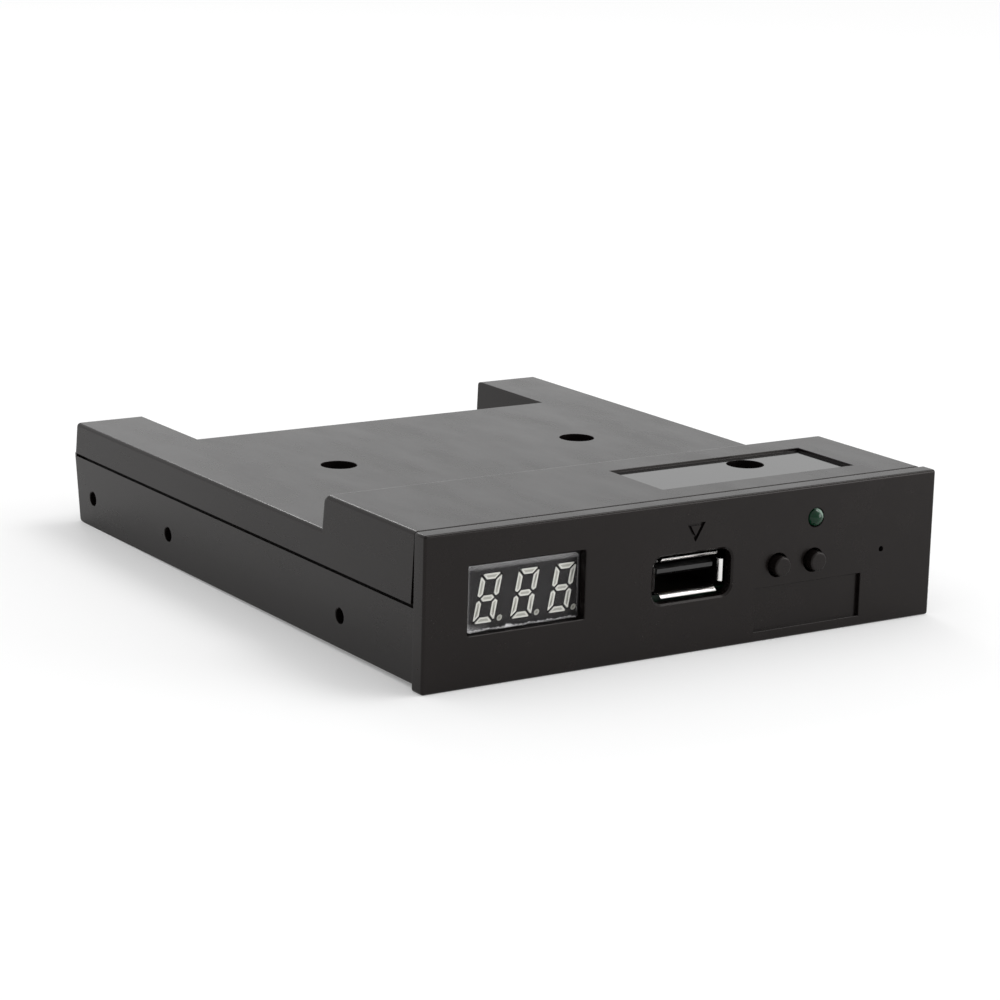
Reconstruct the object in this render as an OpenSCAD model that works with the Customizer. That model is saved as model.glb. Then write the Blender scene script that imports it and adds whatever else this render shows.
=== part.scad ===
// Floppy drive emulator: a slim drive-bay case with a three-digit display, a stick port,
// a status lamp and two push buttons on the face, and pin headers in a notch at the rear.
//
// Millimetres, +Z up, and the face looks along -Y. Modules draw in face coordinates:
// x from the middle of the face, y back from the face, z up from the face's lower edge.
// framed() then puts the origin under the middle of the drive's outline.

/* [Face] */
// Width of the face
face_w = 101.6; // [98:0.2:106]
// Height of the face
face_h = 25.4; // [24.6:0.1:27]
// Thickness of the front wall
face_t = 1.8; // [1.6:0.1:2.6]
// Depth of the face's rim as seen from the side
rim_d = 3; // [2.6:0.1:4]
// Rounding of the face's four corners
face_r = 0.5; // [0.2:0.1:1]

/* [Case] */
// Depth from the face to the rear of the arms
case_d = 122.8; // [120.5:0.1:130]
// Height of the underside above the face's lower edge
floor_z = 0.9; // [0.4:0.1:1.4]
// Height of the parting line between the shells
part_z = 13.8; // [12.8:0.1:14.8]
// Height of the rear deck
deck_z = 19.5; // [18.8:0.1:21]
// How far the raised front section lies below the face's upper edge
top_drop = 0.1; // [0:0.1:0.6]
// Distance from the face to the step
step_y = 32.3; // [31:0.1:36]
// Distance from the face to the rear notch
notch_y = 99.9; // [98:0.1:106]
// Width of the rear notch
notch_w = 74.6; // [73:0.2:79]
// Wall thickness of both shells
wall = 2; // [1.6:0.1:2.2]
// Rounding of the cover's upper edges
edge_r = 0.9; // [0.4:0.1:1.3]
// Taper of the lower shell at its underside
draft_low = 0.7; // [0.3:0.1:1]
// Taper of the cover, mm per mm of height
draft_top = 0.04; // [0.01:0.01:0.06]

/* [Label recess] */
// Width of the recess on the raised section
label_w = 40; // [30:0.5:46]
// Length of the recess from front to back
label_l = 15.2; // [12:0.1:17]
// Depth of the recess
label_d = 0.5; // [0.4:0.1:1.2]
// Distance from the face's right side to the middle of the recess
label_side = 30.4; // [28.8:0.1:32.8]
// Distance from the face to the middle of the recess
label_y = 16.9; // [15:0.1:18]

/* [Panel outline on the face] */
// Width of the shallow panel at the lower right
panel_w = 22.2; // [16:0.1:24]
// Height of the panel
panel_h = 7.4; // [5:0.1:7.6]
// Depth of the panel
panel_d = 0.7; // [0.6:0.1:1.4]
// Distance from the face's right side to the middle of the panel
panel_side = 26.5; // [23.8:0.1:28.8]
// Lower edge of the panel above the face's lower edge
panel_z = 1.75; // [1.2:0.05:2]
// Distance from the face's right side to the pinhole
pinhole_side = 11.2; // [6.8:0.1:12.8]
// Diameter of the pinhole
pinhole_d = 0.9; // [0.6:0.1:1.5]

/* [Display] */
// Width of the window
window_w = 21.7; // [20.6:0.1:23]
// Height of the window
window_h = 11.1; // [9.6:0.1:11.8]
// Distance from the face's left side to the middle of the window
window_side = 19; // [17.8:0.1:20.8]
// Middle of the window above the face's lower edge
window_z = 14.2; // [13.9:0.1:15]
// Height of a digit
digit_h = 7.9; // [6.5:0.1:8.6]
// Width of a digit
digit_w = 3.95; // [3.6:0.05:4.8]
// Pitch of the digits
digit_pitch = 6.96; // [6.6:0.02:7.2]
// Thickness of a segment
segment_t = 1; // [0.7:0.05:1.2]

/* [Stick port] */
// Width of the cut-out in the face
port_cut_w = 15.8; // [15:0.1:18]
// Height of the cut-out in the face
port_cut_h = 7.9; // [7.4:0.1:9]
// Middle of the port, right of the middle of the face
port_x = 0.3; // [-4:0.1:4]

/* [Buttons and lamp] */
// Diameter of a button
button_d = 3.5; // [2.8:0.1:4]
// How far a button stands out of the face
button_out = 1.8; // [0.8:0.1:3]
// Travel of a button
button_travel = 0.25; // [0.15:0.05:0.5]
// Distance from the face's right side to the left button
button_side = 33.1; // [31.8:0.1:34.8]
// Pitch of the two buttons
button_pitch = 7.4; // [7:0.1:9]
// Diameter of the status lamp
lamp_d = 3; // [2.6:0.1:3.4]
// Distance from the face's right side to the lamp
lamp_side = 25.5; // [22.8:0.1:27.8]
// Distance of the lamp below the face's upper edge
lamp_drop = 5.5; // [5:0.1:6.8]

/* [Fasteners] */
// Half the distance between the rear pair of cover screws
screw_x = 25.2; // [23:0.2:28]
// How far the cover screws lie to the right of the middle
screw_shift = 0.3; // [-1:0.1:1]
// Distance from the face to the rear pair of cover screws
screw_rear_y = 70.5; // [66:0.5:74]
// Distance from the face to the front cover screw
screw_front_y = 20; // [19:0.1:22]
// Diameter of the wells that hold the screw heads
well_d = 6.3; // [6:0.1:7]
// Distance from the last side mounting hole to the rear of the arms
side_back = 6.8; // [6:0.1:9]
// Distance from the first to the second side mounting hole
side_gap_front = 60; // [55:0.1:61]
// Distance from the second to the third side mounting hole
side_gap_rear = 30; // [27:0.1:30.4]
// Height of the side mounting holes
side_z = 6.35; // [5.5:0.05:7]
// Diameter of the side mounting holes
side_d = 2.6; // [2.4:0.1:3.2]

/* [Board] */
// Height of the top of the main board
board_z = 9.5; // [9:0.1:10]
// Thickness of the main board
board_t = 1.6; // [1.2:0.1:2]
// Distance from the face's sides to the edges of the main board
board_inset = 6.8; // [6.8:0.1:8.8]

/* [Hidden] */
$fn = 48;

// Fits: a seam between shells, a seat between clamped pieces, a running fit, a loose fit
seam = 0.15;
seat = 0.02;
run_fit = 0.08;
loose = 0.25;
eps = 0.5;

// Colours
case_black = "#2b2a29";
black_plastic = "#1d1d1e";
steel = "#c4c6c8";
gold = "#c9a24a";
board_green = "#1f4d38";
tin = "#b9bbbd";

// Places on the face and the cover, from the face's sides and its upper edge
window_x = window_side - face_w / 2;
panel_x = face_w / 2 - panel_side;
pinhole_x = face_w / 2 - pinhole_side;
button_x = face_w / 2 - button_side;
lamp_x = face_w / 2 - lamp_side;
lamp_z = face_h - lamp_drop;
label_x = face_w / 2 - label_side;
board_w = face_w - 2 * board_inset;

// Frame and case
y_shift = -(case_d - button_out) / 2;
front_gap = 0.4;
cover_y = rim_d + front_gap;
cover_z = part_z + seat;
inner_x = face_w / 2 - wall;
low_wall = wall + draft_low - 0.1;
low_inner_x = face_w / 2 - low_wall;
floor_top = floor_z + wall;
arm_x = notch_w / 2;
groove = [0.6, 0.45];
groove_stop = 0.8;
top_z = face_h - top_drop;
side_last = case_d - side_back;
side_holes = [side_last - side_gap_rear - side_gap_front, side_last - side_gap_rear, side_last];
pad_x = board_w / 2 + 0.4;
screw_xs = [screw_shift - screw_x, screw_shift + screw_x];
screws = [[screw_xs[0], screw_rear_y], [screw_xs[1], screw_rear_y], [screw_xs[1], screw_front_y]];

// Main board: front edge, rear edge, and a tongue that reaches through the rear wall
board_bottom = board_z - board_t;
board_front = face_t + 1.8;
board_rear = notch_y - wall - 0.5;
tongue_rear = notch_y - 0.3;
rear_open_x = arm_x - wall + 0.1;
rear_open_z = [board_bottom - 0.9, board_z + 7];
tongue_x = rear_open_x - 0.6;
pin_below = 1;
pin_foot = board_bottom - pin_below;
rest_d = 4;
rest_in = 3;
rest_ys = [board_front + 10, board_rear - 5.4];
boss_d = 7.4;
thread_l = 5.6;

// Cover screws
screw_d = 2.9;
head_d = 5.5;
head_h = 2;
screw_l = 8;
well_floor = 2;
well_z = board_z + seat + well_floor;
well_wall = 1.5;

// Lips of the cover inside the joint
lip_t = 1.2;
lip_drop = 1.5;
lip_ys = [rim_d + 13, notch_y - 8];

// Display: the housing is larger than the window and sits behind the front wall
digits_x = window_x + 0.9;
digits_z = window_z - 0.6;
housing_w = window_w + 2.5;
housing_h = window_h + 1.5;
housing_l = 6.5;
housing_y = face_t + 0.15;
housing_back = housing_y + housing_l;
slant = 11;
segment_d = 0.5;
mitre = 0.15;
point_d = 1;
point_out = 2;
film_t = 0.12;
display_cut_x = digits_x + housing_w / 2 + 0.5;
display_pin_rows = 2.54;

// Stick port: shell, flared lips and tongue
port_w = 13.1;
port_h = 5.72;
port_lift = 0.49;
port_z = board_z + port_lift + port_h / 2;
port_t = 0.3;
port_y = face_t + 0.3;
port_l = 12.2;
port_back = port_y + port_l;
lip_l = 1;
lip_out = 0.45;
port_leg_y = port_y + 4;
port_leg_w = 1.8;
tongue_w = 11.1;
tongue_t = 1.84;
tongue_y = port_y + 0.9;
tongue_low = port_z + 0.03;
contact_t = 0.25;
contact_back = 2;
contact_xs = [-3.5, -1, 1, 3.5];

// Switches behind the buttons
switch_w = 6;
switch_lift = 0.2;
button_z = board_z + switch_lift + switch_w / 2;
switch_y = face_t + 2;
switch_l = 3.4;
plate_t = 0.3;
flange_d = button_d + 1;
flange_t = 0.6;
cup_d = flange_d + 0.3;
cup_l = flange_t + button_travel + 0.8;
button_xs = [button_x, button_x + button_pitch];
frame_w = switch_w / 2 + 0.1;
frame_leg_x = frame_w + 0.1;
frame_leg_y = switch_y + 1.9;
frame_leg_w = 1;
frame_arm = 1;

// Lamp
lamp_out = 0.9;
lamp_flange_y = face_t + 1.9;
lamp_lead_y = switch_y + switch_l + 2.4;
lamp_lead_x = 1.27;
lead_t = 0.5;

// Pin headers
pitch = 2.54;
pin_t = 0.64;
header_l = 2.5;
header_h = 2 * pitch;
header_y = tongue_rear - header_l;
pin_out = 6;
header_gap = 0.6;
data_cols = 17;
jumper_cols = 5;
power_w = 11;
power_pitch = 2.5;
data_x = (power_w - jumper_cols * pitch) / 2;
jumper_x = data_x + (data_cols + jumper_cols) * pitch / 2 + header_gap;
power_x = data_x - data_cols * pitch / 2 - header_gap - power_w / 2;
power_h = 6.2;
power_l = 3.2;
power_tray_l = 6.5;
power_tray_t = 1.3;
power_cheek_t = 0.9;
power_cheek_h = 3.2;
power_pin_t = 0.8;
power_pin_z = board_z + 3.6;
cap_w = 2.4;

// Board parts: place of each on the board
chip_w = 10;
chip_at = [0, 52];
driver_at = [digits_x, 26];
crystal_at = [-14, 52];
regulator_at = [-14, 80];
capacitor_at = [[8 - board_w / 2, 84], [14, 80]];
can_d = 6.3;
can_h = 5.6;
can_base = 6.6;
can_base_h = 1;
small_l = 2;
small_w = 1.25;
small_h = 0.8;
small_pitch = 3;
small_row = 10;

// Rounded polygon: every corner is [x, y, radius], taken anticlockwise
function unit(v) = v / norm(v);
function flat(p) = [p[0], p[1]];
function arc_points(centre, from, to, r, n = 5) =
    [for (i = [0:n]) centre + r * unit((1 - i / n) * (from - centre) + i / n * (to - centre))];
function rounded_corner(a, b, c, r) =
    let (u = unit(flat(a) - flat(b)), v = unit(flat(c) - flat(b)), half = acos(u * v) / 2)
    arc_points(flat(b) + unit(u + v) * r / sin(half), flat(b) + u * r / tan(half),
        flat(b) + v * r / tan(half), r);
function rounded(p) =
    [for (i = [0:len(p) - 1])
        each (p[i][2] == 0 ? [flat(p[i])]
            : rounded_corner(p[(i + len(p) - 1) % len(p)], p[i], p[(i + 1) % len(p)], p[i][2]))];

// Move from face coordinates to the shared frame
module framed() {
    translate([0, y_shift, 0]) children();
}

// Extrude a drawing of x and z along y
module along_y(y0, y1) {
    translate([0, y1, 0]) rotate([90, 0, 0]) linear_extrude(y1 - y0) children();
}

// Extrude a drawing of y and z along x
module along_x(x0, x1) {
    translate([x0, 0, 0]) rotate([90, 0, 90]) linear_extrude(x1 - x0) children();
}

// Box between two corners
module span(low, high) {
    translate(low) cube(high - low);
}

// Cylinder along y, from y0 back to y1
module rod_y(d, x, z, y0, y1) {
    translate([x, y0, z]) rotate([-90, 0, 0]) cylinder(d = d, h = y1 - y0);
}

// Rectangle with round corners, about the origin
module rounded_square(w, h, r) {
    square([w - 2 * r, h], center = true);
    square([w, h - 2 * r], center = true);
    for (sx = [-1, 1], sz = [-1, 1])
        translate([sx * (w / 2 - r), sz * (h / 2 - r)]) circle(r);
}

// Block of the cover with tapered sides and rear and rounded upper edges
module cover_block(y_rear, z_top, rear_slope) {
    rise = z_top - cover_z;
    half = face_w / 2;
    slim = half - rise * draft_top;
    intersection() {
        along_y(cover_y, y_rear)
            polygon(rounded([[-half, cover_z, 0], [half, cover_z, 0],
                [slim, z_top, edge_r], [-slim, z_top, edge_r]]));
        along_x(-half, half)
            polygon(rounded([[cover_y, cover_z, 0], [y_rear, cover_z, 0],
                [y_rear - rise * rear_slope, z_top, edge_r], [cover_y, z_top, 0]]));
    }
}

// Inside of a shell between the side walls, leaving walls around the rear notch
module shell_cavity(half, y0, z0, z1) {
    difference() {
        span([-half, y0, z0], [half, case_d - low_wall, z1]);
        span([-arm_x - wall, notch_y - wall, z0 - eps], [arm_x + wall, case_d, z1 + eps]);
    }
}

// Rear notch between the arms, and the opening in its wall for the headers
module rear_notch() {
    span([-arm_x, notch_y, -eps], [arm_x, case_d + eps, face_h]);
    span([-rear_open_x, notch_y - wall - eps, rear_open_z[0]],
        [rear_open_x, notch_y + eps, rear_open_z[1]]);
}

// Front wall with its rim
module face_panel() {
    along_y(0, face_t) face_outline();
    along_y(face_t - eps, rim_d) difference() {
        face_outline();
        translate([0, face_h / 2]) square([face_w - 2 * low_wall, face_h - 2 * wall], center = true);
    }
}

module face_outline() {
    h = face_w / 2;
    polygon(rounded([[-h, 0, face_r], [h, 0, face_r], [h, face_h, face_r], [-h, face_h, face_r]]));
}

// Openings and marks cut into the face
module face_cuts() {
    along_y(-eps, face_t + eps) {
        translate([window_x, window_z]) square([window_w, window_h], center = true);
        translate([port_x, port_z]) rounded_square(port_cut_w, port_cut_h, 2);
    }
    for (x = button_xs) rod_y(button_d + 2 * loose, x, button_z, -eps, face_t + eps);
    rod_y(lamp_d + 0.3, lamp_x, lamp_z, -eps, face_t + eps);
    rod_y(pinhole_d, pinhole_x, port_z, -eps, face_t + eps);
    span([panel_x - panel_w / 2, -eps, panel_z], [panel_x + panel_w / 2, panel_d, panel_z + panel_h]);
}

// Lower shell: face, tapered tray, bosses for the cover screws, rests and side mounting pads
module lower_shell() color(case_black) framed() difference() {
    union() {
        difference() {
            tray_block();
            shell_cavity(low_inner_x, face_t, floor_top, part_z + eps);
        }
        face_panel();
        for (p = screws) boss(p, boss_d);
        for (sx = [-1, 1], y = rest_ys) boss([sx * (board_w / 2 - rest_in), y], rest_d);
        for (sx = [-1, 1], y = side_holes) side_pad(sx, y);
    }
    rear_notch();
    shadow_groove();
    face_cuts();
    for (p = screws)
        translate([p[0], p[1], board_bottom - thread_l]) cylinder(d = screw_d + 2 * seat, h = thread_l + eps);
    for (y = side_holes, turn = [-90, 90])
        translate([0, y, side_z]) rotate([0, turn, 0]) translate([0, 0, pad_x - eps])
            cylinder(d = side_d, h = face_w / 2);
}

module tray_block() {
    half = face_w / 2;
    intersection() {
        along_y(face_t - eps, case_d)
            polygon([[draft_low - half, floor_z], [half - draft_low, floor_z], [half, part_z], [-half, part_z]]);
        along_x(-half, half)
            polygon([[0, floor_z], [case_d - draft_low, floor_z], [case_d, part_z], [0, part_z]]);
    }
}

module boss(p, d) {
    translate([p[0], p[1], floor_top - eps])
        cylinder(d = d, h = board_bottom - seat - floor_top + eps);
}

// Pad inside the side wall that gives a mounting screw its depth of thread
module side_pad(sx, y) {
    low = floor_top - eps;
    high = side_z + side_d / 2 + 1.7;
    translate([sx * (pad_x + low_inner_x + eps) / 2, y, (low + high) / 2])
        cube([low_inner_x + eps - pad_x, side_d + 5.4, high - low], center = true);
}

// Dark line along both sides where the shells meet, which stops short of the rear corners
module shadow_groove() {
    for (side = [0, 1]) mirror([side, 0, 0])
        span([face_w / 2 - groove[0], rim_d, part_z - groove[1]],
            [face_w, case_d - groove_stop, part_z + eps]);
}

// Top cover: raised front, rear deck and arms, screw wells, locating lips
module top_cover() color(case_black) framed() difference() {
    union() {
        difference() {
            union() {
                cover_block(step_y, top_z, 0.05);
                cover_block(case_d, deck_z, draft_top);
            }
            shell_cavity(inner_x, cover_y - eps, cover_z - eps, deck_z - wall);
            span([-inner_x + 0.3, cover_y - eps, cover_z], [inner_x - 0.3, step_y - wall - 0.5, top_z - wall]);
        }
        for (p = screws) well(p);
        for (sx = [-1, 1]) locating_lip(sx);
    }
    rear_notch();
    for (p = screws) well_bore(p);
    span([label_x - label_w / 2, label_y - label_l / 2, top_z - label_d],
        [label_x + label_w / 2, label_y + label_l / 2, top_z + eps]);
}

module well(p) {
    top = p[1] < step_y ? top_z - wall : deck_z - wall;
    translate([p[0], p[1], board_z + seat]) cylinder(d = well_d + 2 * well_wall, h = top - board_z + 0.2);
}

module well_bore(p) {
    translate([p[0], p[1], well_z]) cylinder(d = well_d, h = face_h);
    translate([p[0], p[1], 0]) cylinder(d = screw_d + 0.5, h = face_h);
}

// Lip inside the joint that keeps the cover in line with the lower shell
module locating_lip(sx) {
    outer = low_inner_x - seam;
    mirror([sx > 0 ? 0 : 1, 0, 0]) {
        span([outer - lip_t, lip_ys[0], cover_z - lip_drop], [outer, lip_ys[1], cover_z + 0.1]);
        span([outer - lip_t, lip_ys[0], cover_z], [inner_x + eps, lip_ys[1], cover_z + lip_t]);
    }
}

// Cover screws: pan heads with a cross recess, sunk in the wells
module cover_screws() color(steel) framed() {
    for (p = screws) translate([p[0], p[1], well_z + seat]) pan_screw();
}

module pan_screw() {
    difference() {
        union() {
            rotate_extrude() polygon([[0, 0], [head_d / 2, 0], [head_d / 2, head_h * 0.55],
                [head_d * 0.36, head_h * 0.9], [0, head_h]]);
            translate([0, 0, -screw_l + 1]) cylinder(d = screw_d, h = screw_l - 0.9);
            translate([0, 0, -screw_l]) cylinder(d1 = screw_d * 0.4, d2 = screw_d, h = 1.01);
        }
        for (a = [0, 90]) rotate(a) translate([0, 0, head_h]) cube([2.8, 0.6, 2.4], center = true);
    }
}

// Main board with holes for the screws and for every soldered pin
module main_board() color(board_green) framed() difference() {
    translate([0, 0, board_bottom]) linear_extrude(board_t) board_outline();
    for (p = screws) translate([p[0], p[1], 0]) cylinder(d = screw_d + 0.5, h = face_h);
    for (x = contact_xs) pin_hole(port_x + x, port_back + 0.25, 1.4);
    for (sx = [-1, 1]) leg_slot(port_x + sx * (port_w - port_t) / 2, port_leg_y, port_t, port_leg_w);
    for (x = display_pin_xs(), row = [0, 1]) pin_hole(x, display_bend(row), 1.1);
    for (x = button_xs, sx = [-1, 1]) {
        leg_slot(x + sx * frame_leg_x, frame_leg_y, plate_t, frame_leg_w);
        pin_hole(x + sx * 2.25, switch_y + switch_l + 0.25, 1.2);
    }
    for (sx = [-1, 1]) pin_hole(lamp_x + sx * lamp_lead_x, lamp_lead_y, 1);
    for (x = header_xs(data_x, data_cols), row = [0, 1]) pin_hole(x, header_bend(row), 1.2);
    for (x = header_xs(jumper_x, jumper_cols), row = [0, 1]) pin_hole(x, header_bend(row), 1.2);
    for (x = power_xs()) pin_hole(x, power_bend(), 1.4);
    for (sx = [-1, 1]) pin_hole(crystal_at[0], crystal_at[1] + sx * 2.45, 1);
}

module board_outline() {
    h = board_w / 2;
    polygon([[-h, housing_back + 0.15], [display_cut_x, housing_back + 0.15], [display_cut_x, board_front],
        [h, board_front], [h, board_rear], [tongue_x, board_rear], [tongue_x, tongue_rear],
        [-tongue_x, tongue_rear], [-tongue_x, board_rear], [-h, board_rear]]);
}

// Drilled hole, drawn with eight flats
module pin_hole(x, y, d) {
    translate([x, y, board_bottom - eps]) rotate(22.5) cylinder(d = d, h = board_t + 2 * eps, $fn = 8);
}

// Slot for the flat leg of a metal shell
module leg_slot(x, y, t, w) {
    translate([x, y, board_z - board_t / 2])
        cube([t + loose, w + loose, board_t + 2 * eps], center = true);
}

// Bent pin in the y-z plane: back from its tip, then down through the board
module bent_pin(x, y_tip, y_bend, z, t) {
    low = min(y_tip, y_bend - t / 2);
    high = max(y_tip, y_bend + t / 2);
    span([x - t / 2, low, z - t / 2], [x + t / 2, high, z + t / 2]);
    span([x - t / 2, y_bend - t / 2, pin_foot], [x + t / 2, y_bend + t / 2, z]);
}

// Stick port: folded metal shell with four flared lips and two legs
module port_shell() color(steel) framed() {
    along_y(port_y, port_back) translate([port_x, port_z]) difference() {
        rounded_square(port_w, port_h, 0.7);
        rounded_square(port_w - 2 * port_t, port_h - 2 * port_t, 0.4);
    }
    for (side = [0, 180]) {
        port_lip(side, port_h / 2, port_w - 1.8);
        port_lip(side + 90, port_w / 2, port_h - 1.8);
    }
    for (sx = [-1, 1])
        translate([port_x + sx * (port_w - port_t) / 2, port_leg_y, (pin_foot + port_z) / 2])
            cube([port_t, port_leg_w, port_z - pin_foot], center = true);
}

// One lip: angle about the port's axis, distance of the shell's outside, length along the edge
module port_lip(angle, reach, length) {
    translate([port_x, port_y, port_z]) rotate([0, angle, 0]) translate([0, 0, reach - port_t])
        along_x(-length / 2, length / 2)
            polygon([[0.2, 0], [0.2, port_t], [0, port_t], [-lip_l, port_t + lip_out],
                [-lip_l, lip_out], [0, 0]]);
}

// Insulator of the port: rear block and tongue
module port_tongue() color(black_plastic) framed() difference() {
    union() {
        span([port_x - port_w / 2 + port_t + seat, port_back - 3.2, port_z - port_h / 2 + port_t + seat],
            [port_x + port_w / 2 - port_t - seat, port_back - 0.1, port_z + port_h / 2 - port_t - seat]);
        span([port_x - tongue_w / 2, tongue_y, tongue_low],
            [port_x + tongue_w / 2, port_back - 1, tongue_low + tongue_t]);
    }
    // corners of the block that clear the round corners of the shell
    for (sx = [-1, 1], sz = [-1, 1])
        translate([port_x + sx * (port_w / 2 - port_t), port_back - 2, port_z + sz * (port_h / 2 - port_t)])
            rotate([0, 45, 0]) cube([0.6, 8, 0.6], center = true);
    for (x = contact_xs)
        span([port_x + x - 0.55, port_back - 4, tongue_low - contact_t - 2 * seat],
            [port_x + x + 0.55, port_back + eps, tongue_low]);
}

// Four contacts under the tongue, bent down behind the block
module port_contacts() color(gold) framed() {
    for (x = contact_xs) {
        span([port_x + x - 0.5, tongue_y + contact_back, tongue_low - seat - contact_t],
            [port_x + x + 0.5, port_back + 0.35, tongue_low - seat]);
        span([port_x + x - 0.4, port_back + 0.1, pin_foot],
            [port_x + x + 0.4, port_back + 0.35, tongue_low - seat - contact_t / 2]);
    }
}

// One digit about its middle, drawn upright: four corner-to-corner bars with mitred ends,
// two level bars, a pointed middle bar and the point at the lower right
function mirrored(p, sx, sz) = [for (q = p) [sx * q[0], sz * q[1]]];

module digit(inset) {
    w = digit_w / 2;
    h = digit_h / 2;
    t = segment_t;
    in = inset;
    cut = mitre + inset * sqrt(2);
    level = [[w - in - cut, h - in], [in + cut - w, h - in],
        [t - in + cut - w, h - t + in], [w - t + in - cut, h - t + in]];
    upright = [[w - in, h - in - cut], [w - t + in, h - t + in - cut],
        [w - t + in, t / 2 - in + cut], [w - t / 2, cut], [w - in, t / 3 + cut]];
    half_bar = w - t + in - cut;
    tip = w - t / 2 - cut;
    for (sz = [-1, 1]) {
        polygon(mirrored(level, 1, sz));
        for (sx = [-1, 1]) polygon(mirrored(upright, sx, sz));
    }
    polygon([[-tip, 0], [-half_bar, in - t / 2], [half_bar, in - t / 2], [tip, 0],
        [half_bar, t / 2 - in], [-half_bar, t / 2 - in]]);
    translate([w - t + point_out, t / 2 - h]) circle(point_d / 2 - inset);
}

// All three digits, leaning right, seen from the face
module digits(inset) {
    translate([digits_x, digits_z])
        multmatrix([[1, tan(slant), 0, 0], [0, 1, 0, 0], [0, 0, 1, 0]])
            for (i = [-1:1]) translate([i * digit_pitch, 0]) digit(inset);
}

module display_housing() color(black_plastic) framed() difference() {
    span([digits_x - housing_w / 2, housing_y, digits_z + 0.2 - housing_h / 2],
        [digits_x + housing_w / 2, housing_back, digits_z + 0.2 + housing_h / 2]);
    along_y(housing_y - eps, housing_y + segment_d) digits(0);
}

module display_segments() color("#cfcec8") framed()
    along_y(housing_y, housing_y + segment_d - seat) digits(seat);

// Clear film that lies on the display inside the window
module display_film() color("#8a8c90", 0.3) framed()
    along_y(housing_y - seat - film_t, housing_y - seat)
        translate([window_x, window_z]) rounded_square(window_w - 0.3, window_h - 0.3, 0.8);

function display_pin_xs() = [for (i = [-2.5:2.5]) digits_x + i * pitch];
function display_bend(row) = housing_back + 1.3 + row * pitch;

module display_pins() color(tin) framed() {
    for (x = display_pin_xs(), row = [0, 1])
        bent_pin(x, housing_back + seat, display_bend(row), digits_z + (2 * row - 1) * display_pin_rows, lead_t);
}

// Push buttons: round stem, and a flange held behind the switch's plate
module button(x) {
    translate([x, -button_out, button_z]) rotate([-90, 0, 0]) rotate_extrude() polygon(stem_profile());
}

function stem_profile() =
    let (r = button_d / 2, back = button_out + switch_y + run_fit)
    [[0, 0], [r - 0.25, 0], [r, 0.25], [r, back], [flange_d / 2, back],
        [flange_d / 2, back + flange_t], [0, back + flange_t]];

module left_button() color(black_plastic) framed() button(button_xs[0]);

module right_button() color(black_plastic) framed() button(button_xs[1]);

// Switch bodies with a cup for the flange and the snap dome
module switch_housings() color(black_plastic) framed() {
    for (x = button_xs) difference() {
        span([x - switch_w / 2, switch_y, button_z - switch_w / 2],
            [x + switch_w / 2, switch_y + switch_l, button_z + switch_w / 2]);
        rod_y(cup_d, x, button_z, switch_y - eps, switch_y + cup_l);
    }
}

// Metal plates over the switch bodies, with legs at both sides
module switch_frames() color(steel) framed() {
    y0 = switch_y - seat - plate_t;
    y1 = frame_leg_y + frame_leg_w / 2;
    for (x = button_xs) {
        difference() {
            span([x - frame_w, y0, button_z - switch_w / 2],
                [x + frame_w, switch_y - seat, button_z + switch_w / 2]);
            rod_y(button_d + 2 * run_fit, x, button_z, switch_y - 1, switch_y);
        }
        for (sx = [-1, 1]) translate([x + sx * frame_leg_x - plate_t / 2, 0, 0]) {
            span([0, y0, button_z - frame_arm], [plate_t, y1, button_z + frame_arm]);
            span([0, y1 - frame_leg_w, pin_foot], [plate_t, y1, button_z]);
        }
    }
}

// Snap domes that click under the flanges
module switch_domes() color(steel) framed() {
    rim = cup_d / 2 - 0.1;
    rise = 0.45;
    for (x = button_xs)
        translate([x, switch_y + cup_l - seat, button_z]) rotate([90, 0, 0]) rotate_extrude()
            polygon(concat([for (i = [0:4]) [rim * i / 4, rise * (1 - pow(i / 4, 2)) + 0.1]],
                [for (i = [4:-1:0]) [rim * i / 4, rise * (1 - pow(i / 4, 2))]]));
}

module switch_terminals() color(tin) framed() {
    for (x = button_xs, sx = [-1, 1])
        span([x + sx * 2.25 - 0.4, switch_y + switch_l + seat, pin_foot],
            [x + sx * 2.25 + 0.4, switch_y + switch_l + 0.4, button_z - 0.5]);
}

// Status lamp: lens with a dome and a flange, and two bent leads
module lamp_lens() color("#14603a") framed()
    translate([lamp_x, -lamp_out, lamp_z]) rotate([-90, 0, 0]) rotate_extrude() polygon(lens_profile());

function lens_profile() =
    let (r = lamp_d / 2, back = lamp_out + lamp_flange_y)
    concat([for (i = [0:8]) [r * sin(i * 90 / 8), r * (1 - cos(i * 90 / 8))]],
        [[r, back], [r + 0.4, back], [r + 0.4, back + 1], [0, back + 1]]);

module lamp_leads() color(tin) framed() {
    for (sx = [-1, 1])
        bent_pin(lamp_x + sx * lamp_lead_x, lamp_flange_y + 1 + seat, lamp_lead_y, lamp_z, lead_t);
}

// Double-row pin headers on the rear edge of the board
function header_xs(x, cols) = [for (i = [0:cols - 1]) x + (i - (cols - 1) / 2) * pitch];
function header_row_z(row) = board_z + (row + 0.5) * pitch + seat;
function header_bend(row) = header_y - 1.3 - row * pitch;

module header_block(x, cols) {
    difference() {
        span([x - cols * pitch / 2, header_y, board_z + seat],
            [x + cols * pitch / 2, header_y + header_l, board_z + seat + header_h]);
        for (px = header_xs(x, cols), row = [0, 1])
            translate([px, header_y + header_l / 2, header_row_z(row)])
                cube([pin_t + 2 * seat, header_l + eps, pin_t + 2 * seat], center = true);
        // chamfered ends between the pin columns
        for (i = [0:cols])
            translate([x + (i - cols / 2) * pitch, header_y + header_l / 2, board_z + seat + header_h])
                rotate([0, 45, 0]) cube([0.5, header_l + eps, 0.5], center = true);
    }
}

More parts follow.
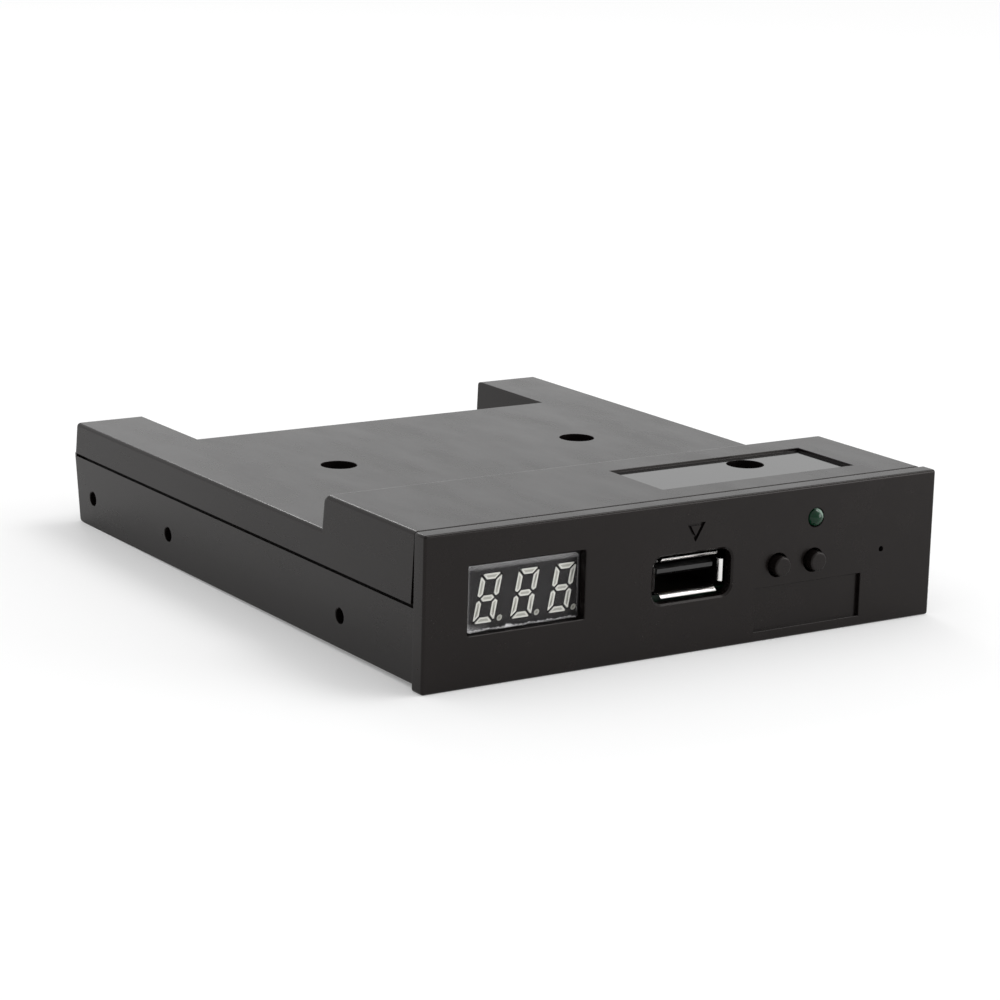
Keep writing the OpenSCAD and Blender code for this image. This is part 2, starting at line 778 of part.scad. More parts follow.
module header_pins(x, cols) {
    for (px = header_xs(x, cols), row = [0, 1])
        bent_pin(px, header_y + header_l + pin_out, header_bend(row), header_row_z(row), pin_t);
}

module data_header() color(black_plastic) framed() header_block(data_x, data_cols);

module data_pins() color(gold) framed() header_pins(data_x, data_cols);

module jumper_header() color(black_plastic) framed() header_block(jumper_x, jumper_cols);

module jumper_pins() color(gold) framed() header_pins(jumper_x, jumper_cols);

// Two jumper caps, each over the two pins of a column
module jumper_caps() color("#22304a") framed() {
    xs = header_xs(jumper_x, jumper_cols);
    y = header_y + header_l;
    for (x = [xs[0], xs[jumper_cols - 1]]) difference() {
        span([x - cap_w / 2, y + 0.1, header_row_z(0) - cap_w / 2],
            [x + cap_w / 2, y + pin_out, header_row_z(1) + cap_w / 2]);
        for (row = [0, 1])
            translate([x, y + pin_out / 2, header_row_z(row)])
                cube([pin_t + 2 * seat, pin_out + eps, pin_t + 2 * seat], center = true);
    }
}

// Power header: four pins in a block with a tray below them
function power_xs() = [for (i = [-1.5:1.5]) power_x + i * power_pitch];
function power_bend() = tongue_rear - power_l - 1.4;

module power_header() color("#d9d6cc") framed() {
    low = board_z + seat;
    difference() {
        span([power_x - power_w / 2, tongue_rear - power_l, low],
            [power_x + power_w / 2, tongue_rear, low + power_h]);
        for (x = power_xs())
            translate([x, tongue_rear - power_l / 2, power_pin_z])
                cube([power_pin_t + 2 * seat, power_l + eps, power_pin_t + 2 * seat], center = true);
    }
    span([power_x - power_w / 2, tongue_rear - eps, low],
        [power_x + power_w / 2, tongue_rear + power_tray_l, low + power_tray_t]);
    for (x = [power_x - power_w / 2, power_x + power_w / 2 - power_cheek_t])
        span([x, tongue_rear - eps, low],
            [x + power_cheek_t, tongue_rear + power_tray_l, low + power_cheek_h]);
}

module power_pins() color(tin) framed() {
    for (x = power_xs()) bent_pin(x, tongue_rear + pin_out, power_bend(), power_pin_z, power_pin_t);
}

// Gull-wing lead of a chip: from the body out and down to the board
module gull_lead(reach, drop, w) {
    t = 0.16;
    rotate([90, 0, 0]) linear_extrude(w, center = true)
        polygon([[0, drop], [reach * 0.45, drop], [reach * 0.55, t], [reach, t], [reach, 0],
            [reach * 0.5, 0], [reach * 0.4, drop - t], [0, drop - t]]);
}

module lead_row(count, step, half_w, reach, w) {
    for (i = [0:count - 1])
        translate([half_w, (i - (count - 1) / 2) * step, 0]) gull_lead(reach, 0.75, w);
}

module control_chip() color(black_plastic) framed()
    translate([chip_at[0], chip_at[1], board_z + 0.8]) cube([chip_w, chip_w, 1.4], center = true);

module control_chip_leads() color(tin) framed()
    for (a = [0:90:270])
        translate([chip_at[0], chip_at[1], board_z + seat]) rotate(a)
            lead_row(16, 0.5, chip_w / 2 + seat, 1, 0.22);

// Display driver: a narrow chip with a row of leads on both sides
module display_driver() color(black_plastic) framed()
    translate([driver_at[0], driver_at[1], board_z + 0.9]) cube([10, 3.9, 1.5], center = true);

module driver_leads() color(tin) framed()
    for (a = [90, 270])
        translate([driver_at[0], driver_at[1], board_z + seat]) rotate(a)
            lead_row(8, 1.27, 1.95 + seat, 1.05, 0.4);

// Clock crystal: oval can on its base, with two leads
module clock_crystal() color(steel) framed()
    translate([crystal_at[0], crystal_at[1], board_z + 0.3]) {
        linear_extrude(0.6) oval(4.6, 11.2);
        linear_extrude(3.5) oval(3.8, 10.2);
    }

module oval(w, l) {
    square([w, l - w], center = true);
    for (s = [-1, 1]) translate([0, s * (l - w) / 2]) circle(d = w);
}

module crystal_leads() color(tin) framed()
    for (s = [-1, 1])
        translate([crystal_at[0], crystal_at[1] + s * 2.45, pin_foot])
            cylinder(d = 0.45, h = board_z + 0.28 - pin_foot);

// Voltage regulator with a broad tab and three leads
module regulator() color(black_plastic) framed()
    translate([regulator_at[0], regulator_at[1], board_z + 0.9]) cube([6.5, 3.5, 1.6], center = true);

module regulator_leads() color(tin) framed()
    translate([regulator_at[0], regulator_at[1], board_z + seat]) {
        for (i = [-1:1])
            translate([i * 2.3, 0, 0]) rotate(90) translate([1.75 + seat, 0, 0]) gull_lead(1.75, 0.75, 0.7);
        rotate(270) translate([1.75 + seat, 0, 0]) gull_lead(1.75, 0.75, 3);
    }

// Two can capacitors on square bases
module bulk_capacitors() color(tin) framed()
    for (p = capacitor_at) translate([p[0], p[1], board_z + seat]) {
        translate([0, 0, can_base_h / 2]) cube([can_base, can_base, can_base_h], center = true);
        cylinder(d = can_d, h = can_h);
    }

// Small chip parts in rows beside the larger parts
module chip_row(count, x, y) {
    for (i = [0:count - 1])
        translate([x + (i - (count - 1) / 2) * small_pitch, y, board_z + seat + small_h / 2])
            cube([small_l, small_w, small_h], center = true);
}

module chip_capacitors() color("#b08a5e") framed() {
    chip_row(6, chip_at[0], chip_at[1] + small_row);
    chip_row(3, driver_at[0], driver_at[1] + small_row * 0.6);
}

module chip_resistors() color("#262626") framed() {
    chip_row(8, chip_at[0], chip_at[1] - small_row);
    chip_row(10, data_x, header_bend(1) - small_row / 2);
}

lower_shell();
top_cover();
cover_screws();
main_board();
port_shell();
port_tongue();
port_contacts();
display_housing();
display_segments();
display_film();
display_pins();
display_driver();
left_button();
right_button();
switch_housings();
switch_frames();
switch_domes();
switch_terminals();
lamp_lens();
lamp_leads();
data_header();
data_pins();
jumper_header();
jumper_pins();
jumper_caps();
power_header();
power_pins();
control_chip();
control_chip_leads();
driver_leads();
clock_crystal();
crystal_leads();
regulator();
regulator_leads();
bulk_capacitors();
chip_capacitors();
chip_resistors();
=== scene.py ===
"""Floppy drive emulator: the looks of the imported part.

Pieces are modelled in millimetres in the face's own coordinates (x from the middle of the face,
y back from the face, z up from its lower edge) and brought into the shared frame when finished.
"""

import math

import bmesh
import bpy
from mathutils import Matrix, Vector


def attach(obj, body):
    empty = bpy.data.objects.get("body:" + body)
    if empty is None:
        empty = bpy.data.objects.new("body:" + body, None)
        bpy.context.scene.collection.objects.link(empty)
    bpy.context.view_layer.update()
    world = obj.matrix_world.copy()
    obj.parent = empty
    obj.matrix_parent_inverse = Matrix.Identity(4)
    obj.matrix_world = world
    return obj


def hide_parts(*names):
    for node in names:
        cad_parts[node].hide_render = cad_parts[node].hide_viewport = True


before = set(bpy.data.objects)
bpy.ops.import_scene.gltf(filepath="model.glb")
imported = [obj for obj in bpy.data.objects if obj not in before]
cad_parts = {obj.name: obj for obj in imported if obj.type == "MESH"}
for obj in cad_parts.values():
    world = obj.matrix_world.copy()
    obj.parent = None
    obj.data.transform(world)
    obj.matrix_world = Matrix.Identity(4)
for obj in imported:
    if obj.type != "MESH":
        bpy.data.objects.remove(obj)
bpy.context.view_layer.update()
scene = bpy.context.scene

MM = 0.001
FACE_SHIFT = -60.5  # the face lies this far in front of the frame's origin

# Case, as in the part's source but for a wider gap in front of the cover
HALF_W = 50.8
FACE_H = 25.4
FACE_T = 1.8
RIM_D = 3.0
CASE_D = 122.8
FLOOR_Z = 0.9
PART_Z = 13.8
COVER_Z = 13.82
COVER_Y = 3.7
DECK_Z = 19.5
TOP_Z = 25.3
LABEL_Z = 24.8
STEP_Y = 32.3
NOTCH_Y = 99.9
ARM_X = 37.3
ARM_END = 120.2  # the hollow of an arm ends here
WALL = 2.0
WALL_FRONT = 97  # just ahead of the wall between the case's hollow and the notch
LOW_INNER_X = 48.2
TOP_INNER_X = 48.8
LOW_DRAFT = 0.7  # the underside is drawn in by this much
TOP_DRAFT = 0.04  # the cover leans in by this share of its height
LABEL = ((0.45, 9.3), (40.4, 24.5))
SCREWS = ((-24.9, 70.5, DECK_Z), (25.5, 70.5, DECK_Z), (25.5, 20.0, LABEL_Z))
SIDE_HOLES = (26.0, 86.0, 116.0)
SIDE_HOLE_D, SIDE_HOLE_Z = 2.6, 6.35
GROOVE_X, GROOVE_Z, GROOVE_END = 49.8, 13.28, 122

# Inside the case: screw posts, rests for the board, pads behind the side holes, wells of the cover
POST_D, REST_D, POST_LOW, POST_TOP = 7.4, 4, 2.4, 7.88
POST_BORE = 2.94
REST_XS, REST_YS = (-41, 41), (13.6, 92)
PAD_XS, PAD_W, PAD_HALF, PAD_TOP = (44.4, -48.7), 4.3, 4, 9.35
WELL_D, WELL_BORE, WELL_LOW, WELL_FLOOR = 9.3, 6.4, 9.52, 11.52
SCREW_HOLE_D = 3.4

# Cutters that leave the part end at these
PAST_FACE = 4
PAST_SIDE = 52
PAST_REAR = 125
PAST_JOINT = 15

# Face
WINDOW = ((-42.65, 8.45), (-20.7, 19.75))
FILM = ((-42.5, 8.7), (-21.0, 19.15))
PORT = (0.3, 12.85)
PORT_CUT = (7.9, 3.95)  # half the opening's width and height
PORT_CONTACTS = (-3.5, -1, 1, 3.5)
PANEL = ((13.2, 1.75), (35.4, 9.15))
PANEL_DEPTH = 0.7
PINHOLE_X, PINHOLE_D = 39.6, 0.9
MARK = (0.6, 20.7)
BUTTONS = {"left_button": 17.7, "right_button": 25.1}
BUTTON_Z = 12.7
BUTTON_D, BUTTON_TIP_D, BUTTON_FLANGE_D = 3.5, 3.25, 4.5
BUTTON_OUT, BUTTON_BACK = 1.55, 3.88
BUTTON_HOLE_D = 4
LAMP = (25.3, 19.9)
LAMP_HOLE_D = 3.22
DIGITS = (-30.9, 13.6)
DIGIT_PITCH = 6.96
DIGIT_LEAN = math.radians(11)
DISPLAY_Y = 1.95
BAR_DEPTH = 0.48

# Headers
PITCH = 2.54
HEADER_Y = 97.1
HEADER_L = 2.5
HEADER_GAP_X, HEADER_GAP_TOP = 35.4, 16.5  # opening for the headers in the notch's wall
BOARD_Z = 9.5
SEAT = 0.02  # gap under a header
PIN_T = 0.64
PIN_TIP = 8.5  # behind the header's front
PIN_FOOT = 6.9  # pins and legs go down to here, through the board
DATA_X, DATA_COLS = -0.85, 17
JUMPER_X, JUMPER_COLS = 27.69, 5


# Modelling by hand

def only(piece):
    """Makes the piece the one that is selected and active."""
    bpy.ops.object.select_all(action="DESELECT")
    piece.select_set(True)
    bpy.context.view_layer.objects.active = piece
    return piece


def settle(piece, name):
    """Names a new primitive and writes its place, turn and scale into its mesh."""
    piece.name = name
    only(piece)
    bpy.ops.object.transform_apply(location=True, rotation=True, scale=True)
    return piece


def block(name, low, high):
    """A cube primitive between two corners."""
    bpy.ops.object.select_all(action="DESELECT")
    bpy.ops.mesh.primitive_cube_add(size=1, location=[(a + b) / 2 for a, b in zip(low, high)])
    bpy.context.active_object.scale = [b - a for a, b in zip(low, high)]
    return settle(bpy.context.active_object, name)


def rod(name, diameter, start, end, sides=40):
    """A cylinder primitive from one point to another."""
    start, end = Vector(start), Vector(end)
    turn = Vector((0, 0, 1)).rotation_difference(end - start).to_euler()
    bpy.ops.object.select_all(action="DESELECT")
    bpy.ops.mesh.primitive_cylinder_add(
        vertices=sides, radius=diameter / 2, depth=(end - start).length,
        location=(start + end) / 2, rotation=turn)
    return settle(bpy.context.active_object, name)


def pick(piece, kind, test):
    """Opens the piece in edit mode with only what passes the test selected."""
    only(piece)
    bpy.ops.object.mode_set(mode="EDIT")
    bpy.ops.mesh.select_mode(type=kind)
    bpy.ops.mesh.select_all(action="DESELECT")
    mesh = bmesh.from_edit_mesh(piece.data)
    for part in {"VERT": mesh.verts, "EDGE": mesh.edges, "FACE": mesh.faces}[kind]:
        if test(part):
            part.select_set(True)
    bmesh.update_edit_mesh(piece.data)


def close():
    """Goes back to object mode."""
    bpy.ops.object.mode_set(mode="OBJECT")


def shift(piece, test, by):
    """Moves the vertices that pass the test."""
    pick(piece, "VERT", lambda v: test(v.co))
    bpy.ops.transform.translate(value=by)
    close()


def squeeze(piece, test, factors, centre):
    """Scales the vertices that pass the test about a point."""
    pick(piece, "VERT", lambda v: test(v.co))
    bpy.ops.transform.resize(value=factors, center_override=centre)
    close()


def round_off(piece, test, radius, segments):
    """Rounds the edges whose two ends pass the test."""
    pick(piece, "EDGE", lambda e: test(e.verts[0].co, e.verts[1].co))
    bpy.ops.mesh.bevel(offset=radius, segments=segments, affect="EDGES", clamp_overlap=False)
    close()


def grow(piece, test, steps):
    """Extrudes the faces that pass the test, by each step's move and scale in turn."""
    pick(piece, "FACE", test)
    for move, factors in steps:
        bpy.ops.mesh.extrude_region_move(TRANSFORM_OT_translate={"value": move})
        mesh = bmesh.from_edit_mesh(piece.data)
        chosen = [v.co for v in mesh.verts if v.select]
        middle = sum(chosen, Vector()) / len(chosen)
        bpy.ops.transform.resize(value=factors, center_override=middle)
    close()


def open_mouth(tool, out, lip):
    """Widens a cutter that ends lip short of the surface, at 45 degrees and on past the surface,
    which chamfers the cut's rim by lip."""
    out = Vector(out)
    wider = [1 if abs(o) > 0.5 else 1 + 4 * lip / s for o, s in zip(out, tool.dimensions)]
    grow(tool, lambda f: f.normal.dot(out) > 0.9, [(out * lip * 2, wider), (out, (1, 1, 1))])
    return tool


def join(*pieces):
    """Makes one object of several pieces, without merging them."""
    only(pieces[0])
    for piece in pieces:
        piece.select_set(True)
    bpy.ops.object.join()
    return pieces[0]


def combine(piece, operation, *tools):
    """Adds the tools to the piece or cuts them out of it."""
    for tool in tools:
        work = piece.modifiers.new(operation, "BOOLEAN")
        work.operation, work.solver, work.object = operation, "EXACT", tool
        only(piece)
        bpy.ops.object.modifier_apply(modifier=work.name)
        bpy.data.objects.remove(tool)
        pick(piece, "VERT", lambda v: True)
        bpy.ops.mesh.remove_doubles(threshold=0.002)
        bpy.ops.mesh.dissolve_degenerate(threshold=0.002)
        close()
    return piece


def copy_of(piece, move):
    """A copy with its own mesh, moved."""
    only(piece)
    bpy.ops.object.duplicate()
    twin = bpy.context.active_object
    twin.location = move
    return settle(twin, piece.name + "_copy")


def hand_over(piece, body, nodes, slot, *finishes, smooth=35):
    """Brings a finished piece into the frame, shades it, and says what it rides on and stands for."""
    piece.scale = (MM, MM, MM)
    piece.location = (0, FACE_SHIFT * MM, 0)
    settle(piece, piece.name)
    bpy.ops.object.shade_smooth_by_angle(angle=math.radians(smooth))
    flat_walls = piece.modifiers.new("flat_walls", "WEIGHTED_NORMAL")
    flat_walls.keep_sharp = True
    bpy.ops.object.modifier_apply(modifier=flat_walls.name)
    piece.data.materials.clear()
    for finish in finishes:
        piece.data.materials.append(finish)
    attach(piece, body)
    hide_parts(*nodes)
    return piece


def dress(finish, *names):
    """Gives CAD nodes a finish in place of their plain colour."""
    for name in names:
        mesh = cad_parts[name].data
        mesh.materials.clear()
        mesh.materials.append(finish)


# Materials

def linear(code):
    """An sRGB hex colour as linear red, green, blue and alpha."""
    parts = [int(code[i:i + 2], 16) / 255 for i in (1, 3, 5)]
    return [p / 12.92 if p <= 0.04045 else ((p + 0.055) / 1.055) ** 2.4 for p in parts] + [1.0]


def add(tree, kind, links=None, **settings):
    """Adds a node with its settings; each link is a value or the socket that feeds the input."""
    made = tree.nodes.new(kind)
    for key, value in settings.items():
        setattr(made, key, value)
    for key, value in (links or {}).items():
        if isinstance(value, bpy.types.NodeSocket):
            tree.links.new(value, made.inputs[key])
        else:
            made.inputs[key].default_value = value
    return made


def per_mm(size):
    """Scale of a pattern on coordinates in metres, for features of this size in millimetres."""
    return 1 / (size * MM)


def start(name, **sockets):
    """A new material with its Principled shader's plain sockets set."""
    made = bpy.data.materials.new(name)
    made.use_nodes = True
    shader = made.node_tree.nodes["Principled BSDF"]
    for key, value in sockets.items():
        shader.inputs[key.replace("_", " ")].default_value = value
    place = add(made.node_tree, "ShaderNodeTexCoord").outputs["Object"]
    return made, made.node_tree, shader, place


def moulded_plastic(name, dark, light, rough, grain, depth, haze, level=0.5, shine="#ffffff"):
    """Moulded plastic: mottled pigment, a surface whose gloss drifts where hands or the mould
    polished it, and a fine grain left by the mould's texture. Sizes are in millimetres."""
    made, tree, shader, place = start(
        name, IOR=1.53, Specular_IOR_Level=level, Specular_Tint=linear(shine))
    mottle = add(tree, "ShaderNodeTexNoise",
                 {"Vector": place, "Scale": per_mm(14), "Detail": 4.0, "Roughness": 0.6})
    tint = add(tree, "ShaderNodeMix",
               {"Factor": mottle.outputs["Fac"], "A": linear(dark), "B": linear(light)},
               data_type="RGBA")
    tree.links.new(tint.outputs["Result"], shader.inputs["Base Color"])
    rub = add(tree, "ShaderNodeMapping",
              {"Vector": place, "Scale": (1.0, 0.35, 1.0), "Rotation": (0, 0, 0.5)})
    worn = add(tree, "ShaderNodeTexNoise",
               {"Vector": rub.outputs["Vector"], "Scale": per_mm(9), "Detail": 5.0, "Roughness": 0.65})
    gloss = add(tree, "ShaderNodeMapRange",
                {"Value": worn.outputs["Fac"], "From Min": 0.3, "From Max": 0.7,
                 "To Min": rough - haze, "To Max": rough + haze})
    tree.links.new(gloss.outputs["Result"], shader.inputs["Roughness"])
    pits = add(tree, "ShaderNodeTexNoise",
               {"Vector": place, "Scale": per_mm(grain), "Detail": 2.0, "Roughness": 0.7})
    relief = add(tree, "ShaderNodeBump",
                 {"Height": pits.outputs["Fac"], "Strength": 1.0, "Distance": depth * MM})
    tree.links.new(relief.outputs["Normal"], shader.inputs["Normal"])
    return made


def plated_metal(name, dark, light, rough, drift):
    """Rolled and plated metal: faint rolling lines, and a shine that drifts with handling."""
    spacing, height = 0.25, 0.002  # of the rolling lines
    made, tree, shader, place = start(name, Metallic=1.0)
    rolled = add(tree, "ShaderNodeMapping", {"Vector": place, "Scale": (1.0, 0.08, 1.0)})
    lines = add(tree, "ShaderNodeTexNoise",
                {"Vector": rolled.outputs["Vector"], "Scale": per_mm(spacing), "Detail": 3.0})
    tint = add(tree, "ShaderNodeMix",
               {"Factor": lines.outputs["Fac"], "A": linear(dark), "B": linear(light)},
               data_type="RGBA")
    tree.links.new(tint.outputs["Result"], shader.inputs["Base Color"])
    gloss = add(tree, "ShaderNodeMapRange",
                {"Value": lines.outputs["Fac"], "From Min": 0.3, "From Max": 0.7,
                 "To Min": rough - drift, "To Max": rough + drift})
    tree.links.new(gloss.outputs["Result"], shader.inputs["Roughness"])
    relief = add(tree, "ShaderNodeBump",
                 {"Height": lines.outputs["Fac"], "Strength": 1.0, "Distance": height * MM})
    tree.links.new(relief.outputs["Normal"], shader.inputs["Normal"])
    return made


def coated_laminate():
    """Glass-epoxy board under green solder mask: a satin coat, a faint weave, copper tracks that
    show as slightly lighter bands under the mask."""
    made, tree, shader, place = start("glass_epoxy_green_mask", Roughness=0.38, IOR=1.55)
    tracks = add(tree, "ShaderNodeTexVoronoi", {"Vector": place, "Scale": per_mm(3.2)},
                 feature="DISTANCE_TO_EDGE", distance="MANHATTAN")
    copper = add(tree, "ShaderNodeMath", {0: tracks.outputs["Distance"], 1: 0.13}, operation="LESS_THAN")
    tint = add(tree, "ShaderNodeMix",
               {"Factor": copper.outputs["Value"], "A": linear("#0b2217"), "B": linear("#123221")},
               data_type="RGBA")
    tree.links.new(tint.outputs["Result"], shader.inputs["Base Color"])
    weave = add(tree, "ShaderNodeTexVoronoi", {"Vector": place, "Scale": per_mm(0.6)}, distance="CHEBYCHEV")
    relief = add(tree, "ShaderNodeBump",
                 {"Height": weave.outputs["Distance"], "Strength": 1.0, "Distance": 0.004 * MM})
    tree.links.new(relief.outputs["Normal"], shader.inputs["Normal"])
    return made


def lens_epoxy():
    """Tinted clear epoxy of the lamp: deep green and cloudy, with a painted highlight: its colour
    turns pale towards the upper right of the polished dome."""
    made, tree, shader, place = start("epoxy_cast_green", Roughness=0.08, IOR=1.52, Specular_IOR_Level=0.25)
    cloud = add(tree, "ShaderNodeTexNoise", {"Vector": place, "Scale": per_mm(0.8), "Detail": 2.0})
    deep = add(tree, "ShaderNodeMix",
               {"Factor": cloud.outputs["Fac"], "A": linear("#011d0f"), "B": linear("#05351f")},
               data_type="RGBA")
    # painted highlight: the base colour blends to pale towards the upper right of the dome
    middle = (LAMP[0] * MM, FACE_SHIFT * MM, LAMP[1] * MM)
    off = add(tree, "ShaderNodeVectorMath", {0: place, 1: middle}, operation="SUBTRACT")
    aside = add(tree, "ShaderNodeVectorMath",
                {0: off.outputs["Vector"], 1: (0.8, 0.0, 0.6)}, operation="DOT_PRODUCT")
    painted_highlight = add(tree, "ShaderNodeMapRange",
                   {"Value": aside.outputs["Value"], "From Min": 0.35 * MM, "From Max": 1.35 * MM},
                   interpolation_type="SMOOTHSTEP")
    tint = add(tree, "ShaderNodeMix",
               {"Factor": painted_highlight.outputs["Result"], "A": deep.outputs["Result"], "B": linear("#93a89b")},
               data_type="RGBA")
    tree.links.new(tint.outputs["Result"], shader.inputs["Base Color"])
    return made


def clear_film():
    """Clear polyester film: nearly invisible where it lies flat on the display. Where its border has
    let go and curls, a painted sheen makes it pale and opaque, with a painted highlight along its fold."""
    made, tree, shader, place = start(
        "polyester_film_clear", IOR=1.57, Roughness=0.12, Specular_IOR_Level=0.2)
    painted_sheen = add(tree, "ShaderNodeAttribute", attribute_name="painted_sheen").outputs["Fac"]
    cloud = add(tree, "ShaderNodeTexNoise", {"Vector": place, "Scale": per_mm(1.6), "Detail": 3.0})
    tint = add(tree, "ShaderNodeMix",
               {"Factor": cloud.outputs["Fac"], "A": linear("#c4c3c5"), "B": linear("#f4f3f4")},
               data_type="RGBA")
    tree.links.new(tint.outputs["Result"], shader.inputs["Base Color"])
    # painted sheen and highlight: the film turns opaque and pale where the attribute from its mesh is high
    cover = add(tree, "ShaderNodeMapRange",
                {"Value": painted_sheen, "From Min": 0.0, "From Max": 1.0, "To Min": 0.004, "To Max": 0.95})
    tree.links.new(cover.outputs["Result"], shader.inputs["Alpha"])
    return made


def pale_resin(name, dark, light):
    """Milky epoxy that fills a display segment: soft, slightly cloudy, matt."""
    made, tree, shader, place = start(name, Roughness=0.45, IOR=1.5)
    cloud = add(tree, "ShaderNodeTexNoise", {"Vector": place, "Scale": per_mm(0.5), "Detail": 3.0})
    tint = add(tree, "ShaderNodeMix",
               {"Factor": cloud.outputs["Fac"], "A": linear(dark), "B": linear(light)},
               data_type="RGBA")
    tree.links.new(tint.outputs["Result"], shader.inputs["Base Color"])
    return made


# Spark-eroded texture: fine, even grain and a grey sheen at low angles. The grain of about 0.1 mm
# is too fine to show, so it is drawn at 0.3 mm.
case_abs = moulded_plastic(
    "abs_moulded_fine_texture", "#0b0808", "#110d0c", rough=0.26, grain=0.3, depth=0.0045, haze=0.04,
    level=0.2, shine="#fff9f6")
# Label floor: the same plastic from a polished part of the mould, which mirrors the room
smooth_abs = moulded_plastic(
    "abs_moulded_smooth", "#080808", "#0c0c0c", rough=0.07, grain=0.3, depth=0.0003, haze=0.02)
# Buttons: a little duller than the case
button_abs = moulded_plastic(
    "abs_moulded_satin_button", "#0b0808", "#110d0c", rough=0.3, grain=0.3, depth=0.003, haze=0.04,
    level=0.2, shine="#fff9f6")
# Printed face of the display: matt, so that the pale bars stand out
display_ink = moulded_plastic(
    "display_face_black_ink", "#1a1819", "#211f20", rough=0.5, grain=0.25, depth=0.002, haze=0.05, level=0.2)
# Port tongue: deep black with a soft shine
port_pbt = moulded_plastic(
    "pbt_moulded_port_black", "#060606", "#0a0a0a", rough=0.3, grain=0.3, depth=0.003, haze=0.05)
# Header strips: dull charcoal
header_pbt = moulded_plastic(
    "pbt_moulded_header_black", "#17171a", "#1f1f22", rough=0.45, grain=0.25, depth=0.004, haze=0.06)
# Chips: matt, with the coarse grain of filled epoxy
chip_epoxy = moulded_plastic(
    "epoxy_moulded_chip_black", "#1a1a1b", "#242425", rough=0.55, grain=0.2, depth=0.006, haze=0.06)
# Switch bodies: dull black
switch_nylon = moulded_plastic(
    "nylon_moulded_switch_black", "#161617", "#1f1f20", rough=0.48, grain=0.25, depth=0.004, haze=0.05)
# Jumper caps: dark blue with a soft shine
cap_nylon = moulded_plastic(
    "nylon_moulded_cap_blue", "#1b2b52", "#24386a", rough=0.42, grain=0.3, depth=0.003, haze=0.05)
# Power header: undyed, milky and soft
power_nylon = moulded_plastic(
    "nylon_moulded_natural", "#cfcabb", "#e2dfd4", rough=0.45, grain=0.4, depth=0.004, haze=0.06)
# Chip capacitors: dry, mottled tan
ceramic_tan = moulded_plastic(
    "ceramic_fired_tan", "#8a6a45", "#b3905f", rough=0.5, grain=0.2, depth=0.004, haze=0.08)
# Chip resistors: black under a glassy coat
resistor_glaze = moulded_plastic(
    "glass_glaze_resistor_black", "#151516", "#1d1d1f", rough=0.25, grain=0.3, depth=0.002, haze=0.05)
# Port shell: bright, with clear reflections
port_nickel = plated_metal("steel_nickel_plated_port", "#e6e4e2", "#f4f2f0", rough=0.2, drift=0.04)
# The shell's inside: rougher nickel with a dark base colour, a painted shade for the shadow inside the tube
shaded_nickel = plated_metal("steel_nickel_painted_shade_inside", "#2c2a29", "#3a3836", rough=0.4, drift=0.06)
# Contacts and header pins: a thin gold coat, warm and bright
contact_gold = plated_metal("brass_gold_flashed", "#c79a3d", "#dcb55c", rough=0.22, drift=0.06)
# Leads: soft grey shine
pin_tin = plated_metal("copper_alloy_tinned", "#a9abad", "#c6c8ca", rough=0.3, drift=0.08)
# Screws: grey and slightly uneven
screw_zinc = plated_metal("steel_zinc_plated_screw", "#9c9d9f", "#bfc0c2", rough=0.32, drift=0.08)
# Switch plates and snap domes: clean and even
spring_steel = plated_metal("stainless_rolled_spring", "#a3a4a6", "#c3c4c6", rough=0.26, drift=0.06)
# Crystal can: a slightly warm, soft mirror
crystal_can = plated_metal("steel_nickel_crystal_can", "#b4b4b2", "#cfcfcd", rough=0.24, drift=0.06)
# Capacitor cans: cool and silky
drawn_aluminium = plated_metal("aluminium_drawn_can", "#b5b7b9", "#d0d2d4", rough=0.3, drift=0.06)
board_mask = coated_laminate()
lamp_epoxy = lens_epoxy()
display_film = clear_film()
# Rims of the bars, their greyer cores, and the darker cores of the points
segment_resin = pale_resin("epoxy_cast_segment_pale", "#cdcdc6", "#d7d7d0")
segment_core = pale_resin("epoxy_cast_segment_core", "#9c9c94", "#a7a79f")
point_core = pale_resin("epoxy_cast_point_core", "#73736c", "#7e7e77")


# Lower case: tray and face in one moulding

